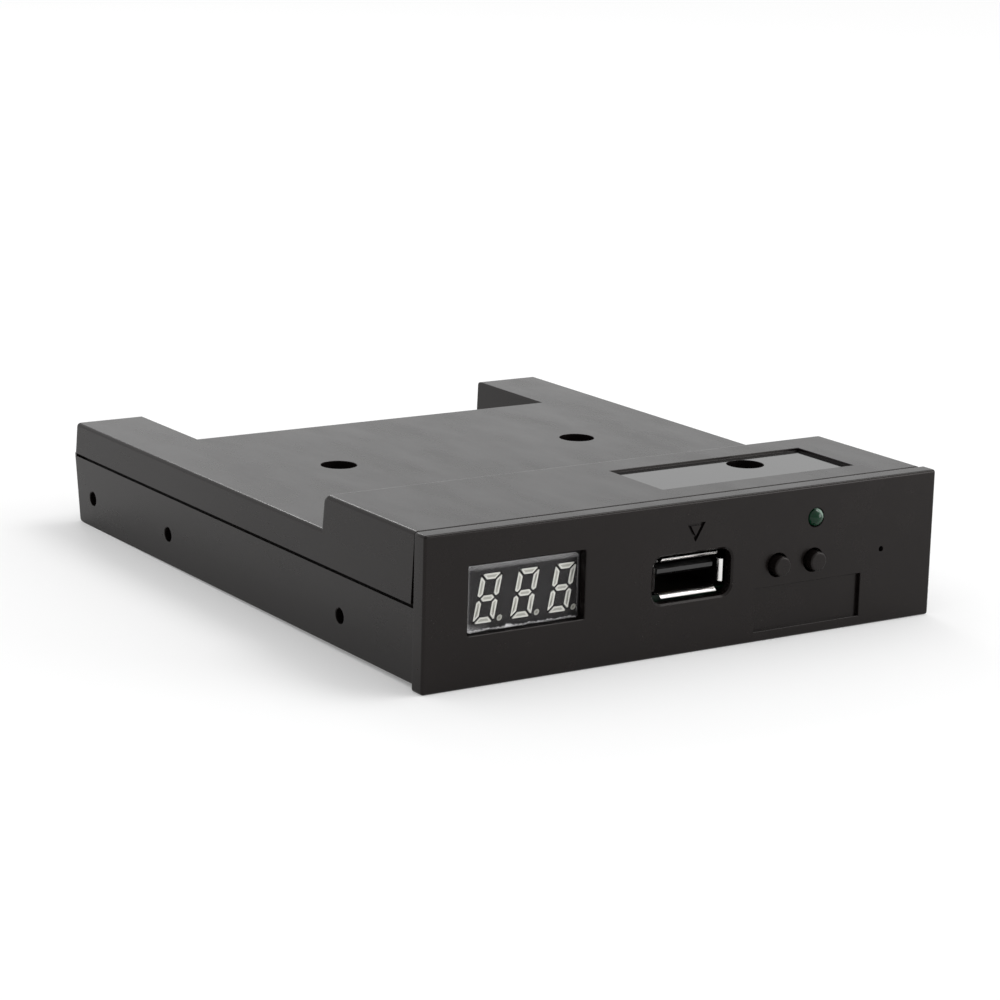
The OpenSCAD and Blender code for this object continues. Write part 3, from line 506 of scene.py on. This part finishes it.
def make_lower_case():
    """A drafted tray, the face in front of it, and posts and pads inside."""
    tray_x, floor_top = HALF_W - 0.02, FLOOR_Z + WALL
    tray = block("lower_case", (-tray_x, 1.5, FLOOR_Z), (tray_x, CASE_D, PART_Z))
    # mould draft: the underside is narrower and shorter than the joint
    squeeze(tray, lambda p: p.z < 1, (1 - LOW_DRAFT / HALF_W, 1, 1), (0, 0, FLOOR_Z))
    shift(tray, lambda p: p.z < 1 and p.y > 100, (0, -LOW_DRAFT, 0))
    round_off(tray, lambda a, b: min(a.y, b.y) > 100 and max(a.z, b.z) < 1, 0.6, 4)
    round_off(tray, lambda a, b: min(a.y, b.y) > 100 and abs(a.x - b.x) < 1, 0.25, 3)
    combine(tray, "DIFFERENCE",
            block("cavity", (-LOW_INNER_X, FACE_T, floor_top), (LOW_INNER_X, NOTCH_Y - WALL, PAST_JOINT)),
            block("arm_cavity", (ARM_X + WALL, WALL_FRONT, floor_top), (LOW_INNER_X, ARM_END, PAST_JOINT)),
            block("arm_cavity", (-LOW_INNER_X, WALL_FRONT, floor_top), (-ARM_X - WALL, ARM_END, PAST_JOINT)))
    face = block("face", (-HALF_W, 0, 0), (HALF_W, RIM_D, FACE_H))
    round_off(face, lambda a, b: abs(a.y - b.y) > 1, 0.5, 4)
    round_off(face, lambda a, b: max(a.y, b.y) < 0.01, 0.45, 4)
    round_off(face, lambda a, b: min(a.y, b.y) > RIM_D - 0.01, 0.15, 3)
    combine(face, "DIFFERENCE",
            block("rim_hollow", (-LOW_INNER_X, FACE_T, WALL), (LOW_INNER_X, PAST_FACE, FACE_H - WALL)))
    combine(tray, "UNION", face)
    posts = [rod("post", POST_D, (x, y, POST_LOW), (x, y, POST_TOP)) for x, y, _ in SCREWS]
    posts += [rod("rest", REST_D, (x, y, POST_LOW), (x, y, POST_TOP)) for x in REST_XS for y in REST_YS]
    for x in PAD_XS:
        posts += [block("pad", (x, y - PAD_HALF, POST_LOW), (x + PAD_W, y + PAD_HALF, PAD_TOP))
                  for y in SIDE_HOLES]
    combine(tray, "UNION", join(*posts))
    bores = [rod("bore", POST_BORE, (x, y, 2.3), (x, y, 9)) for x, y, _ in SCREWS]
    combine(tray, "DIFFERENCE", join(*bores))
    notch = block("notch", (-ARM_X, NOTCH_Y, FLOOR_Z + 0.2), (ARM_X, PAST_REAR, 16))
    gap = block("header_gap", (-HEADER_GAP_X, WALL_FRONT, 7), (HEADER_GAP_X, NOTCH_Y - 0.15, HEADER_GAP_TOP))
    combine(tray, "DIFFERENCE", open_mouth(notch, (0, 0, -1), 0.2), open_mouth(gap, (0, 1, 0), 0.15))
    # the dark line under the joint stops short of the rear corners
    combine(tray, "DIFFERENCE",
            block("groove", (-PAST_SIDE, RIM_D, GROOVE_Z), (-GROOVE_X, GROOVE_END, PAST_JOINT)),
            block("groove", (GROOVE_X, RIM_D, GROOVE_Z), (PAST_SIDE, GROOVE_END, PAST_JOINT)))
    side_holes = [side_hole(side, y) for side in (-1, 1) for y in SIDE_HOLES]
    combine(tray, "DIFFERENCE", join(*face_openings()), join(*side_holes))
    return hand_over(tray, "case", ["lower_shell"], "case_abs", case_abs)


def face_openings():
    """Cutters for the face: openings and a panel line with chamfered rims, and the mark."""
    window_lip, port_lip, panel_lip, pinhole_lip, hole_lip = 0.12, 0.3, 0.08, 0.06, 0.1
    (x0, z0), (x1, z1) = WINDOW
    window = block("window", (x0, window_lip, z0), (x1, PAST_FACE, z1))
    round_off(window, lambda a, b: abs(a.y - b.y) > 1, 0.35, 3)
    x, z = PORT
    half_w, half_h = PORT_CUT
    port = block("port_opening", (x - half_w, port_lip, z - half_h), (x + half_w, PAST_FACE, z + half_h))
    round_off(port, lambda a, b: abs(a.y - b.y) > 1, 2, 6)
    (x0, z0), (x1, z1) = PANEL
    panel = block("panel", (x0, panel_lip, z0), (x1, PANEL_DEPTH, z1))
    pinhole = rod("pinhole", PINHOLE_D, (PINHOLE_X, pinhole_lip, z), (PINHOLE_X, PAST_FACE, z), 20)
    round_holes = [("button_hole", BUTTON_HOLE_D, x, BUTTON_Z) for x in BUTTONS.values()]
    round_holes.append(("lamp_hole", LAMP_HOLE_D, *LAMP))
    holes = [rod(name, wide, (x, hole_lip, z), (x, PAST_FACE, z)) for name, wide, x, z in round_holes]
    # a plain grooved triangle that points down to the port
    mark = combine(triangle(1), "DIFFERENCE", triangle(0.52))
    front = (0, -1, 0)
    cutters = [open_mouth(window, front, window_lip), open_mouth(port, front, port_lip),
               open_mouth(panel, front, panel_lip), open_mouth(pinhole, front, pinhole_lip), mark]
    return cutters + [open_mouth(hole, front, hole_lip) for hole in holes]


def triangle(share):
    """A triangular prism with its point down, drawn in towards the middle by the share. The whole
    one goes 0.45 mm into the face, and a smaller one goes deeper."""
    x, z = MARK
    half, rise, fall = 1.9 * share, 1.05 * share, 2.05 * share
    prism = block("triangle", (x - half, share - 2, z - fall), (x + half, 1.45 - share, z + rise))
    squeeze(prism, lambda p: p.z < z, (0.03, 1, 1), (x, 0, z))
    return prism


def side_hole(side, y):
    """A cutter for a mounting hole, with a chamfered rim at the drafted wall."""
    surface, lip = 50.4, 0.12
    inner, outer = (side * 44, y, SIDE_HOLE_Z), (side * (surface - lip), y, SIDE_HOLE_Z)
    return open_mouth(rod("side_hole", SIDE_HOLE_D, inner, outer, 32), (side, 0, 0), lip)


# Top cover: raised front, deck and arms

def cover_form():
    """Deck and raised front from one block: split at the step, the front drawn up, drafted, rounded."""
    form = block("top_cover_moulding", (-HALF_W, COVER_Y, COVER_Z), (HALF_W, CASE_D, DECK_Z))
    pick(form, "FACE", lambda f: True)
    bpy.ops.mesh.bisect(plane_co=(0, STEP_Y, 0), plane_no=(0, 1, 0))
    close()
    grow(form, lambda f: f.normal.z > 0.9 and f.calc_center_median().y < STEP_Y,
         [((0, 0, TOP_Z - DECK_Z), (1, 1, 1))])
    for z in (DECK_Z, TOP_Z):
        lean = (z - COVER_Z) * TOP_DRAFT
        squeeze(form, lambda p: abs(p.z - z) < 0.1, (1 - lean / HALF_W, 1, 1), (0, 0, z))
        shift(form, lambda p: abs(p.z - z) < 0.1 and p.y > 100, (0, -lean, 0))
        shift(form, lambda p: abs(p.z - z) < 0.1 and abs(p.y - STEP_Y) < 0.1, (0, -lean * 1.25, 0))
    pick(form, "FACE", lambda f: True)
    bpy.ops.mesh.dissolve_limited(angle_limit=math.radians(0.5))
    close()
    round_off(form, step_edge, 1.4, 8)
    round_off(form, cover_rim, 0.7, 5)
    round_off(form, lambda a, b: max(a.y, b.y) < COVER_Y + 0.01 and min(a.z, b.z) > TOP_Z - 1.5, 0.18, 3)
    return form


def step_edge(a, b):
    """The upper edge of the step."""
    return min(a.z, b.z) > TOP_Z - 0.1 and 20 < min(a.y, b.y) and max(a.y, b.y) < 40


def cover_rim(a, b):
    """The upper edges at the sides and at the rear, the step's corners, and the rear corners."""
    along = abs(a.x - b.x) < 1 and abs(a.x) > 50 and min(a.y, b.y) > COVER_Y - 0.1
    side_edge = along and min(a.z, b.z) > DECK_Z - 0.1 and max(a.y, b.y) > COVER_Y + 0.1
    rear_edge = min(a.y, b.y) > 100 and (min(a.z, b.z) > DECK_Z - 0.1 or along)
    return side_edge or rear_edge


def make_top_cover():
    """The hollowed cover with its wells, lips, label recess and notch."""
    cover = cover_form()
    ceiling = DECK_Z - WALL
    combine(cover, "DIFFERENCE",
            block("cavity", (-TOP_INNER_X, 2.5, 13), (TOP_INNER_X, NOTCH_Y - WALL, ceiling)),
            block("raised_cavity", (-48.5, 2.5, 14), (48.5, 29.8, TOP_Z - WALL)),
            block("arm_cavity", (ARM_X + WALL, WALL_FRONT, 13), (TOP_INNER_X, ARM_END, ceiling)),
            block("arm_cavity", (-TOP_INNER_X, WALL_FRONT, 13), (-ARM_X - WALL, ARM_END, ceiling)))
    wells = [rod("well", WELL_D, (x, y, WELL_LOW), (x, y, top - 0.5)) for x, y, top in SCREWS]
    combine(cover, "UNION", join(*wells))
    # lips inside the joint keep the cover in line with the tray
    for side in (-1, 1):
        low, high = sorted((side * 46.85, side * 48.05))
        shelf_low, shelf_high = sorted((side * 46.85, side * 49.3))
        combine(cover, "UNION",
                block("lip", (low, 16, 12.32), (high, 91.9, 14.4)),
                block("lip_shelf", (shelf_low - 0.02, 15.98, COVER_Z), (shelf_high + 0.02, 91.92, 15.02)))
    # a lip under the front edge closes the gap behind the face to the eye
    combine(cover, "UNION",
            block("lip_root", (-45.98, 4.4, 22.4), (45.98, 5.9, TOP_Z - 1.4)),
            block("front_lip", (-46, 2.4, 22.3), (46, 6, 23.1)))
    label_lip, notch_lip, bore_lip = 0.08, 0.15, 0.06
    (x0, y0), (x1, y1) = LABEL
    recess = block("label_recess", (x0, y0, LABEL_Z), (x1, y1, TOP_Z - label_lip))
    round_off(recess, lambda a, b: max(a.z, b.z) < LABEL_Z + 0.01, 0.08, 2)
    notch = block("notch", (-ARM_X, NOTCH_Y, 9), (ARM_X, PAST_REAR, DECK_Z - notch_lip))
    up = (0, 0, 1)
    combine(cover, "DIFFERENCE",
            open_mouth(recess, up, label_lip), open_mouth(notch, up, notch_lip),
            block("header_gap", (-HEADER_GAP_X, WALL_FRONT, 9), (HEADER_GAP_X, 101, HEADER_GAP_TOP)))
    bores = [rod("well_bore", WELL_BORE, (x, y, WELL_FLOOR), (x, y, top - bore_lip), 48)
             for x, y, top in SCREWS]
    bores = [open_mouth(bore, up, bore_lip) for bore in bores]
    holes = [rod("screw_hole", SCREW_HOLE_D, (x, y, 9), (x, y, 12)) for x, y, _ in SCREWS]
    combine(cover, "DIFFERENCE", join(*bores), join(*holes))
    hand_over(cover, "case", ["top_cover"], "case_abs", case_abs, smooth_abs)
    for patch in cover.data.polygons:
        place = patch.center / MM
        if patch.normal.z > 0.9 and abs(place.z - LABEL_Z) < 0.05 and 0 < place.x < 41:
            patch.material_index = 1
    return cover


make_lower_case()
make_top_cover()


# Push buttons

def make_button(name, x):
    """A round stem, drafted towards a rounded front, and the flange that the switch's plate holds back."""
    button = rod(name + "_cap", BUTTON_D, (x, -BUTTON_OUT, BUTTON_Z), (x, BUTTON_BACK, BUTTON_Z), 48)
    taper, flare = BUTTON_TIP_D / BUTTON_D, BUTTON_FLANGE_D / BUTTON_D
    squeeze(button, lambda p: p.y < 0, (taper, 1, taper), (x, 0, BUTTON_Z))
    round_off(button, lambda a, b: max(a.y, b.y) < 0.01 - BUTTON_OUT, 0.32, 4)
    grow(button, lambda f: f.normal.y > 0.9, [((0, 0, 0), (flare, 1, flare)), ((0, 0.6, 0), (1, 1, 1))])
    return hand_over(button, name, [name], "button_black", button_abs)


for button_name, button_x in BUTTONS.items():
    make_button(button_name, button_x)


# Status lamp

def make_lamp():
    """A dome drawn up ring by ring from a straight barrel, with a flange behind."""
    radius, flange_r, root, back, (x, z) = 1.56, 1.9, 0.65, 3.7, LAMP
    lens = rod("lamp_dome", 2 * radius, (x, root, z), (x, back, z), 48)
    steps, last_r, last_y = [], radius, root
    for i in range(1, 9):
        angle = math.radians(i * 10.8)
        ring_r, ring_y = radius * math.cos(angle), root - radius * math.sin(angle)
        steps.append(((0, ring_y - last_y, 0), (ring_r / last_r, 1, ring_r / last_r)))
        last_r, last_y = ring_r, ring_y
    grow(lens, lambda f: f.normal.y < -0.9, steps)
    flare = flange_r / radius
    grow(lens, lambda f: f.normal.y > 0.9, [((0, 0, 0), (flare, 1, flare)), ((0, 1, 0), (1, 1, 1))])
    return hand_over(lens, "case", ["lamp_lens"], "lamp_green", lamp_epoxy)


make_lamp()


# Stick port

def make_port_shell():
    """A folded sheet tube whose mouth curls out into four lips, with two legs into the board."""
    x, z = PORT
    half_w, half_h, corner, mouth, sheet = 6.55, 2.86, 1.0, 2.2, 0.3
    shell = block("port_sheet_shell", (x - half_w, mouth, z - half_h), (x + half_w, 14.3, z + half_h))
    round_off(shell, lambda a, b: abs(a.y - b.y) > 1, corner, 6)
    pick(shell, "FACE", lambda f: abs(f.normal.y) > 0.9)
    bpy.ops.mesh.delete(type="FACE")
    close()
    lips = (((0, 0, 1), half_h), ((0, 0, -1), half_h), ((1, 0, 0), half_w), ((-1, 0, 0), half_w))
    for out, reach in lips:
        curl_lip(shell, Vector((x, mouth, z)) + Vector(out) * reach, Vector(out))
    walls = shell.modifiers.new("sheet", "SOLIDIFY")
    walls.thickness, walls.offset = sheet, -1
    only(shell)
    bpy.ops.object.modifier_apply(modifier=walls.name)

    def bare_corner(p):
        """The outer half of the sheet's edge in a corner between two lips."""
        along_x, along_z = abs(p.x - x) - half_w + corner, abs(p.z - z) - half_h + corner
        in_corner = p.y < mouth + 0.01 and min(along_x, along_z) > 0.01
        return in_corner and math.hypot(along_x, along_z) > corner - sheet / 2

    # between the lips the sheet's edge is cut back towards the outside
    shift(shell, bare_corner, (0, 0.3, 0))
    legs = [block("leg", (x + s * 6.4 - 0.15, 5.2, PIN_FOOT), (x + s * 6.4 + 0.15, 7.0, 12)) for s in (-1, 1)]
    combine(shell, "UNION", join(*legs))
    hand_over(shell, "case", ["port_shell"], "port_nickel", port_nickel, shaded_nickel)
    # the faces inside the tube, behind the mouth, take the painted shade
    for patch in shell.data.polygons:
        place = patch.center / MM - Vector((x, FACE_SHIFT, z))
        inward = patch.normal.x * place.x + patch.normal.z * place.z < 0
        if inward and place.y > mouth + 0.2:
            patch.material_index = 1
    return shell


def curl_lip(shell, middle, out):
    """Draws the straight edge at the middle forward, along an arc that turns outwards. The upper
    lip turns furthest, and the lower one is the widest."""
    radius = 1.25 if out.z < 0 else 1.0
    turn = math.radians(67 if out.z > 0 else 57)
    count = 7
    pick(shell, "EDGE", lambda e: ((e.verts[0].co + e.verts[1].co) / 2 - middle).length < 0.05)
    for i in range(count):
        a, b = turn * i / count, turn * (i + 1) / count
        forward = Vector((0, -radius * (math.sin(b) - math.sin(a)), 0))
        move = forward + out * radius * (math.cos(a) - math.cos(b))
        bpy.ops.mesh.extrude_region_move(TRANSFORM_OT_translate={"value": move})
    close()


make_port_shell()


def make_port_tongue():
    """The insulator: a block at the back, and a tongue that thins to a blunt nose."""
    x, z = PORT
    body = block("port_insulator", (x - 6.2, 11.1, z - 2.5), (x + 6.2, 14.2, z + 2.5))
    round_off(body, lambda a, b: abs(a.y - b.y) > 1, 0.75, 3)
    tongue = block("tongue", (x - 5.55, 3, z + 0.03), (x + 5.55, 12.5, z + 1.87))
    grow(tongue, lambda f: f.normal.y < -0.9, [((0, -0.75, 0), (1, 1, 0.36))])
    slots = [block("slot", (x + c - 0.55, 10.3, z - 0.26), (x + c + 0.55, 15, z + 0.03))
             for c in PORT_CONTACTS]
    combine(body, "UNION", tongue)
    combine(body, "DIFFERENCE", join(*slots))
    return hand_over(body, "case", ["port_tongue"], "port_plastic", port_pbt)


make_port_tongue()


# Display

def make_segments():
    """Three leaning digits of pale bars, each bar with a slightly sunk, greyer core."""
    first = digit_bars()
    digits = join(first, *[copy_of(first, (step * DIGIT_PITCH, 0, 0)) for step in (1, 2)])
    digits.name = "display_bars"
    slant = math.tan(DIGIT_LEAN)
    for v in digits.data.vertices:
        v.co.x += v.co.z * slant + DIGITS[0] - DIGIT_PITCH
        v.co.z += DIGITS[1]
    finishes = (segment_resin, segment_core, point_core)
    hand_over(digits, "case", ["display_segments"], "segment_resin", *finishes, smooth=20)
    # the core of a bar lies 0.02 mm deep, and only that of a point lies deeper
    for patch in digits.data.polygons:
        depth = patch.center.y / MM - FACE_SHIFT - DISPLAY_Y
        if patch.normal.y < -0.9 and depth > 0.01:
            patch.material_index = 1 if depth < 0.022 else 2
    return digits


def digit_bars():
    """The seven bars and the point of one digit about its middle, drawn upright."""
    half_w, half_h, thick, cut, rim = 1.955, 3.93, 0.92, 0.28, 0.27
    bars = [middle_bar(half_w, thick, cut)]
    for up in (-1, 1):
        bars.append(level_bar(half_w, half_h, thick, cut, up))
        bars += [upright_bar(half_w, half_h, thick, cut, right, up) for right in (-1, 1)]
    bars = [sink_core(bar, rim, 0.02) for bar in bars]
    # the point lies a little deeper and looks greyer
    x, z = 2.975, -3.45
    dot = rod("dot", 0.96, (x, DISPLAY_Y + 0.015, z), (x, DISPLAY_Y + BAR_DEPTH, z), 24)
    return join(*bars, sink_core(dot, rim, 0.01))


def span(name, corner, opposite):
    """A bar of the display's depth between two corners of the face."""
    (x0, x1), (z0, z1) = sorted((corner[0], opposite[0])), sorted((corner[1], opposite[1]))
    return block(name, (x0, DISPLAY_Y, z0), (x1, DISPLAY_Y + BAR_DEPTH, z1))


def level_bar(half_w, half_h, thick, cut, up):
    """The top or bottom bar: its inner edge is shorter by the mitres."""
    bar = span("level_bar", (cut - half_w, up * half_h), (half_w - cut, up * (half_h - thick)))
    shorter = (half_w - thick - cut) / (half_w - cut)
    squeeze(bar, lambda p: abs(p.z) < half_h - thick / 2, (shorter, 1, 1), (0, 0, 0))
    round_off(bar, lambda a, b: abs(a.y - b.y) > 0.3 and abs(a.z) > half_h - 0.1, 0.2, 1)
    return bar


def upright_bar(half_w, half_h, thick, cut, right, up):
    """A side bar: mitred at its corner of the digit, pointed at the middle."""
    corner = (right * half_w, up * (half_h - cut))
    bar = span("upright_bar", corner, (right * (half_w - thick), up * (thick / 2 + cut)))
    shift(bar, lambda p: abs(p.x) < half_w - thick / 2 and abs(p.z) > half_h / 2, (0, 0, -up * thick))
    grow(bar, lambda f: f.normal.z * up < -0.9, [((0, 0, -up * thick / 2), (0.04, 1, 1))])
    shift(bar, lambda p: abs(p.x) > half_w - 0.01 and abs(p.z) < half_h / 2, (0, 0, -up * thick / 6))
    outer_x = half_w - 0.1
    round_off(bar, lambda a, b: abs(a.y - b.y) > 0.3 and abs(a.x) > outer_x and abs(a.z) > half_h / 2, 0.2, 1)
    return bar


def middle_bar(half_w, thick, cut):
    """The bar across the middle: both ends drawn out to points."""
    half = half_w - thick - cut
    bar = span("middle_bar", (-half, -thick / 2), (half, thick / 2))
    for side in (-1, 1):
        grow(bar, lambda f: f.normal.x * side > 0.9, [((side * thick / 2, 0, 0), (1, 1, 0.04))])
    return bar


def sink_core(bar, margin, depth):
    """Insets the front and sinks the core a little."""
    pick(bar, "FACE", lambda f: f.normal.y < -0.9)
    bpy.ops.mesh.inset(thickness=margin, depth=-depth)
    close()
    return bar


make_segments()


def make_film():
    """A cut sheet of clear film that lies on the display. Its left and upper borders have let go,
    and its lower border curls forward in a crinkled fold. A painted sheen marks the loose borders,
    and a painted highlight line with one painted glint runs along the fold."""
    low, high = FILM
    width, height, rim, thick = high[0] - low[0], high[1] - low[1], 0.8, 0.08
    bpy.ops.object.select_all(action="DESELECT")
    bpy.ops.mesh.primitive_grid_add(
        x_subdivisions=120, y_subdivisions=150, size=1, rotation=(math.pi / 2, 0, 0))
    film = bpy.context.active_object
    film.scale = (width, height, 1)
    settle(film, "window_film")
    painted_sheen = film.data.attributes.new("painted_sheen", "FLOAT", "POINT")
    for v in film.data.vertices:
        off = Vector((abs(v.co.x) - width / 2 + rim, abs(v.co.z) - height / 2 + rim))
        if min(off) > 0:  # rounds the corners
            off *= max(off) / off.length
            v.co.x = math.copysign(width / 2 - rim + off.x, v.co.x)
            v.co.z = math.copysign(height / 2 - rim + off.y, v.co.z)
        x, z = v.co.x + width / 2, v.co.z + height / 2
        right = x / width
        # how far each border has let go: 0 on the flat sheet, 1 at its edge
        left_share = max(0.0, 1 - x / 1.3)
        top_share = max(0.0, 1 - (height - z) / 1.0)
        low_share = max(0.0, 1 - z / (1.15 - 0.55 * right + 0.12 * math.sin(x * 1.9)))
        # a painted highlight line follows the wandering fold along the lower border, brightest at one painted
        # glint
        crinkle = math.sin(x * 5.3) * math.sin(x * 2.1 + 1)
        fold = 0.16 - 0.08 * right + 0.03 * math.sin(x * 1.7) + 0.05 * crinkle
        painted_glint = math.exp(-((x - 8.2) / 0.9) ** 2)
        painted_fold_line = math.exp(-((z - fold) / (0.07 + 0.09 * painted_glint)) ** 2)
        v.co.y = DISPLAY_Y - 0.08 - 0.2 * left_share ** 2 - 0.2 * top_share ** 2
        v.co.y -= (1.0 - 0.25 * right + 0.08 * math.sin(x * 1.3)) * low_share ** 2
        v.co.x += (low[0] + high[0]) / 2
        v.co.z += (low[1] + high[1]) / 2
        # painted sheen: pale bands on the loose left and upper borders and along the cut edges, a pale lower
        # left corner, and the painted fold line with its glint
        border = min(x, height - z, width - x)
        edges = 0.2 * min(1.0, 2 * left_share) + 0.15 * min(1.0, 2 * top_share)
        edges += 0.22 * max(0.0, 1 - border / 0.15)
        corner = 0.22 * low_share * max(0.0, 1 - x / 5)
        painted_sheen.data[v.index].value = min(1.0, edges + corner + painted_fold_line * (0.36 + 0.16 * crinkle + 0.6 * painted_glint))
    sheet = film.modifiers.new("sheet", "SOLIDIFY")
    sheet.thickness, sheet.offset = thick, 0
    only(film)
    bpy.ops.object.modifier_apply(modifier=sheet.name)
    return hand_over(film, "case", ["display_film"], "clear_film", display_film)


make_film()


# Headers in the rear notch

def bent_pin(name, x, z, bend, tip, thick):
    """A square pin with a tapered tip, bent down through the board."""
    half, taper = thick / 2, 0.6
    pin = block(name, (x - half, bend - half, z - half), (x + half, tip - taper, z + half))
    grow(pin, lambda f: f.normal.y > 0.9, [((0, taper, 0), (0.45, 1, 0.45))])
    leg = block("leg", (x - half, bend - half, PIN_FOOT), (x + half, bend + half, z))
    return combine(pin, "UNION", leg)


def make_pins(name, node, slot, finish, x, columns):
    """Two rows of pins; the upper row bends down further inside."""
    pins = []
    for row in (0, 1):
        first = bent_pin(name, x - (columns - 1) / 2 * PITCH, BOARD_Z + (row + 0.5) * PITCH + SEAT,
                         HEADER_Y - 1.3 - row * PITCH, HEADER_Y + PIN_TIP, PIN_T)
        pins += [first] + [copy_of(first, (i * PITCH, 0, 0)) for i in range(1, columns)]
    hand_over(join(*pins), "case", [node], slot, finish)


def make_header(name, node, x, columns):
    """Break-off cells side by side, each with chamfered corners."""
    low = BOARD_Z + SEAT
    first, gap, hole = x - columns * PITCH / 2, 0.004, 0.34
    high = (first + PITCH - gap, HEADER_Y + HEADER_L, low + 2 * PITCH)
    cell = block(name, (first + gap, HEADER_Y, low), high)
    round_off(cell, lambda a, b: abs(a.y - b.y) > 1, 0.35, 1)
    middle = first + PITCH / 2
    holes = [block("hole", (middle - hole, HEADER_Y - 1, z - hole), (middle + hole, HEADER_Y + 4, z + hole))
             for z in (low + PITCH / 2, low + 3 * PITCH / 2)]
    combine(cell, "DIFFERENCE", join(*holes))
    cells = [cell] + [copy_of(cell, (i * PITCH, 0, 0)) for i in range(1, columns)]
    hand_over(join(*cells), "case", [node], "header_black", header_pbt)


make_pins("data_pin_rows", "data_pins", "contact_gold", contact_gold, DATA_X, DATA_COLS)
make_pins("jumper_pin_rows", "jumper_pins", "contact_gold", contact_gold, JUMPER_X, JUMPER_COLS)
make_header("data_header_strip", "data_header", DATA_X, DATA_COLS)
make_header("jumper_header_strip", "jumper_header", JUMPER_X, JUMPER_COLS)


# CAD nodes that keep their shape

dress(screw_zinc, "cover_screws")
dress(board_mask, "main_board")
dress(contact_gold, "port_contacts")
dress(display_ink, "display_housing")
dress(pin_tin, "display_pins", "switch_terminals", "lamp_leads", "power_pins", "control_chip_leads",
      "driver_leads", "crystal_leads", "regulator_leads")
dress(chip_epoxy, "display_driver", "control_chip", "regulator")
dress(switch_nylon, "switch_housings")
dress(spring_steel, "switch_frames", "switch_domes")
dress(cap_nylon, "jumper_caps")
dress(power_nylon, "power_header")
dress(crystal_can, "clock_crystal")
dress(drawn_aluminium, "bulk_capacitors")
dress(ceramic_tan, "chip_capacitors")
dress(resistor_glaze, "chip_resistors")


# Floor, light and camera

def make_floor():
    """A pale floor, tipped by the little that the drive leans on the lower edge of its face."""
    bpy.ops.object.select_all(action="DESELECT")
    bpy.ops.mesh.primitive_plane_add(
        size=8, location=(0, FACE_SHIFT * MM, 0), rotation=(FLOOR_Z / CASE_D, 0, 0))
    floor = bpy.context.active_object
    floor.name = "floor"
    made, tree, shader, _ = start(
        "floor_paper_white", Base_Color=linear("#f5f5f5"), Roughness=1.0, Specular_IOR_Level=0.0)
    # seen straight or in a shine, a part of the floor is plain white, which softens the shadow
    path = add(tree, "ShaderNodeLightPath").outputs
    seen = add(tree, "ShaderNodeMath",
               {0: path["Is Camera Ray"], 1: path["Is Glossy Ray"]}, operation="MAXIMUM")
    seen = add(tree, "ShaderNodeMath",
               {0: seen.outputs["Value"], 1: path["Is Transmission Ray"]}, operation="MAXIMUM")
    share = add(tree, "ShaderNodeMath", {0: seen.outputs["Value"], 1: 0.2}, operation="MULTIPLY")
    white = add(tree, "ShaderNodeEmission", {"Color": (1, 1, 1, 1), "Strength": 1.0})
    both = add(tree, "ShaderNodeMixShader",
               {0: share.outputs["Value"], 1: shader.outputs["BSDF"], 2: white.outputs["Emission"]})
    tree.links.new(both.outputs["Shader"], tree.nodes["Material Output"].inputs["Surface"])
    floor.data.materials.append(made)


def make_light():
    """A white room, a little dimmer towards the front left, two softboxes, and a broad soft light
    from above right."""
    world = bpy.data.worlds.new("studio")
    world.use_nodes = True
    scene.world = world
    tree = world.node_tree
    tree.nodes.clear()
    way = add(tree, "ShaderNodeTexCoord").outputs["Generated"]
    lean = add(tree, "ShaderNodeVectorMath", {0: way, 1: (0.5, 0.8, 0.35)}, operation="DOT_PRODUCT")
    level = add(tree, "ShaderNodeMapRange",
                {"Value": lean.outputs["Value"], "From Min": -0.8, "From Max": 0.4,
                 "To Min": 0.6, "To Max": 1.0})
    room = add(tree, "ShaderNodeBackground", {"Color": (1, 1, 1, 1), "Strength": level.outputs["Result"]})
    add(tree, "ShaderNodeOutputWorld", {"Surface": room.outputs["Background"]})
    # one box behind draws a line along the rounded edges, one in front lifts the right of the face
    hang_softbox("rear_softbox", (0.22, 0.81, 0.53), 0.22, 0.1, 0.8)
    hang_softbox("front_softbox", (0.47, -0.48, 0.12), 0.36, 0.36, 1.8)
    soft = bpy.data.lights.new("overhead", "SUN")
    soft.energy, soft.angle = 0.6, math.radians(25)
    lamp = bpy.data.objects.new("overhead", soft)
    lamp.rotation_euler = Vector((-0.6, 0.1, -1)).to_track_quat("-Z", "Y").to_euler()
    scene.collection.objects.link(lamp)


def hang_softbox(name, place, width, height, power):
    """A rectangular light that faces the drive."""
    box = bpy.data.lights.new(name, "AREA")
    box.shape, box.size, box.size_y, box.energy = "RECTANGLE", width, height, power
    hung = bpy.data.objects.new(name, box)
    hung.location = place
    hung.rotation_euler = (-Vector(place)).to_track_quat("-Z", "Y").to_euler()
    scene.collection.objects.link(hung)


def make_camera():
    """The photograph's viewpoint."""
    azimuth, elevation, roll = (math.radians(a) for a in (-33.314, 13.432, 1.517))
    target, distance = Vector((-7.35, -14.91, 16.61)) * MM, 538.217 * MM
    level = math.cos(elevation)
    back = Vector((math.sin(azimuth) * level, -math.cos(azimuth) * level, math.sin(elevation)))
    right = (-back).cross(Vector((0, 0, 1))).normalized()
    up = right.cross(-back)
    across = right * math.cos(roll) + up * math.sin(roll)
    upward = up * math.cos(roll) - right * math.sin(roll)
    data = bpy.data.cameras.new("camera")
    data.sensor_width, data.lens = 36, 112.83
    data.clip_start, data.clip_end = 0.01, 30
    camera = bpy.data.objects.new("camera", data)
    turn = [[across[i], upward[i], back[i]] for i in range(3)]
    camera.rotation_mode = "QUATERNION"
    camera.rotation_quaternion = Matrix(turn).to_quaternion()
    camera.location = target + back * distance
    scene.collection.objects.link(camera)
    scene.camera = camera


make_floor()
make_light()
make_camera()
scene.view_settings.view_transform = "Standard"
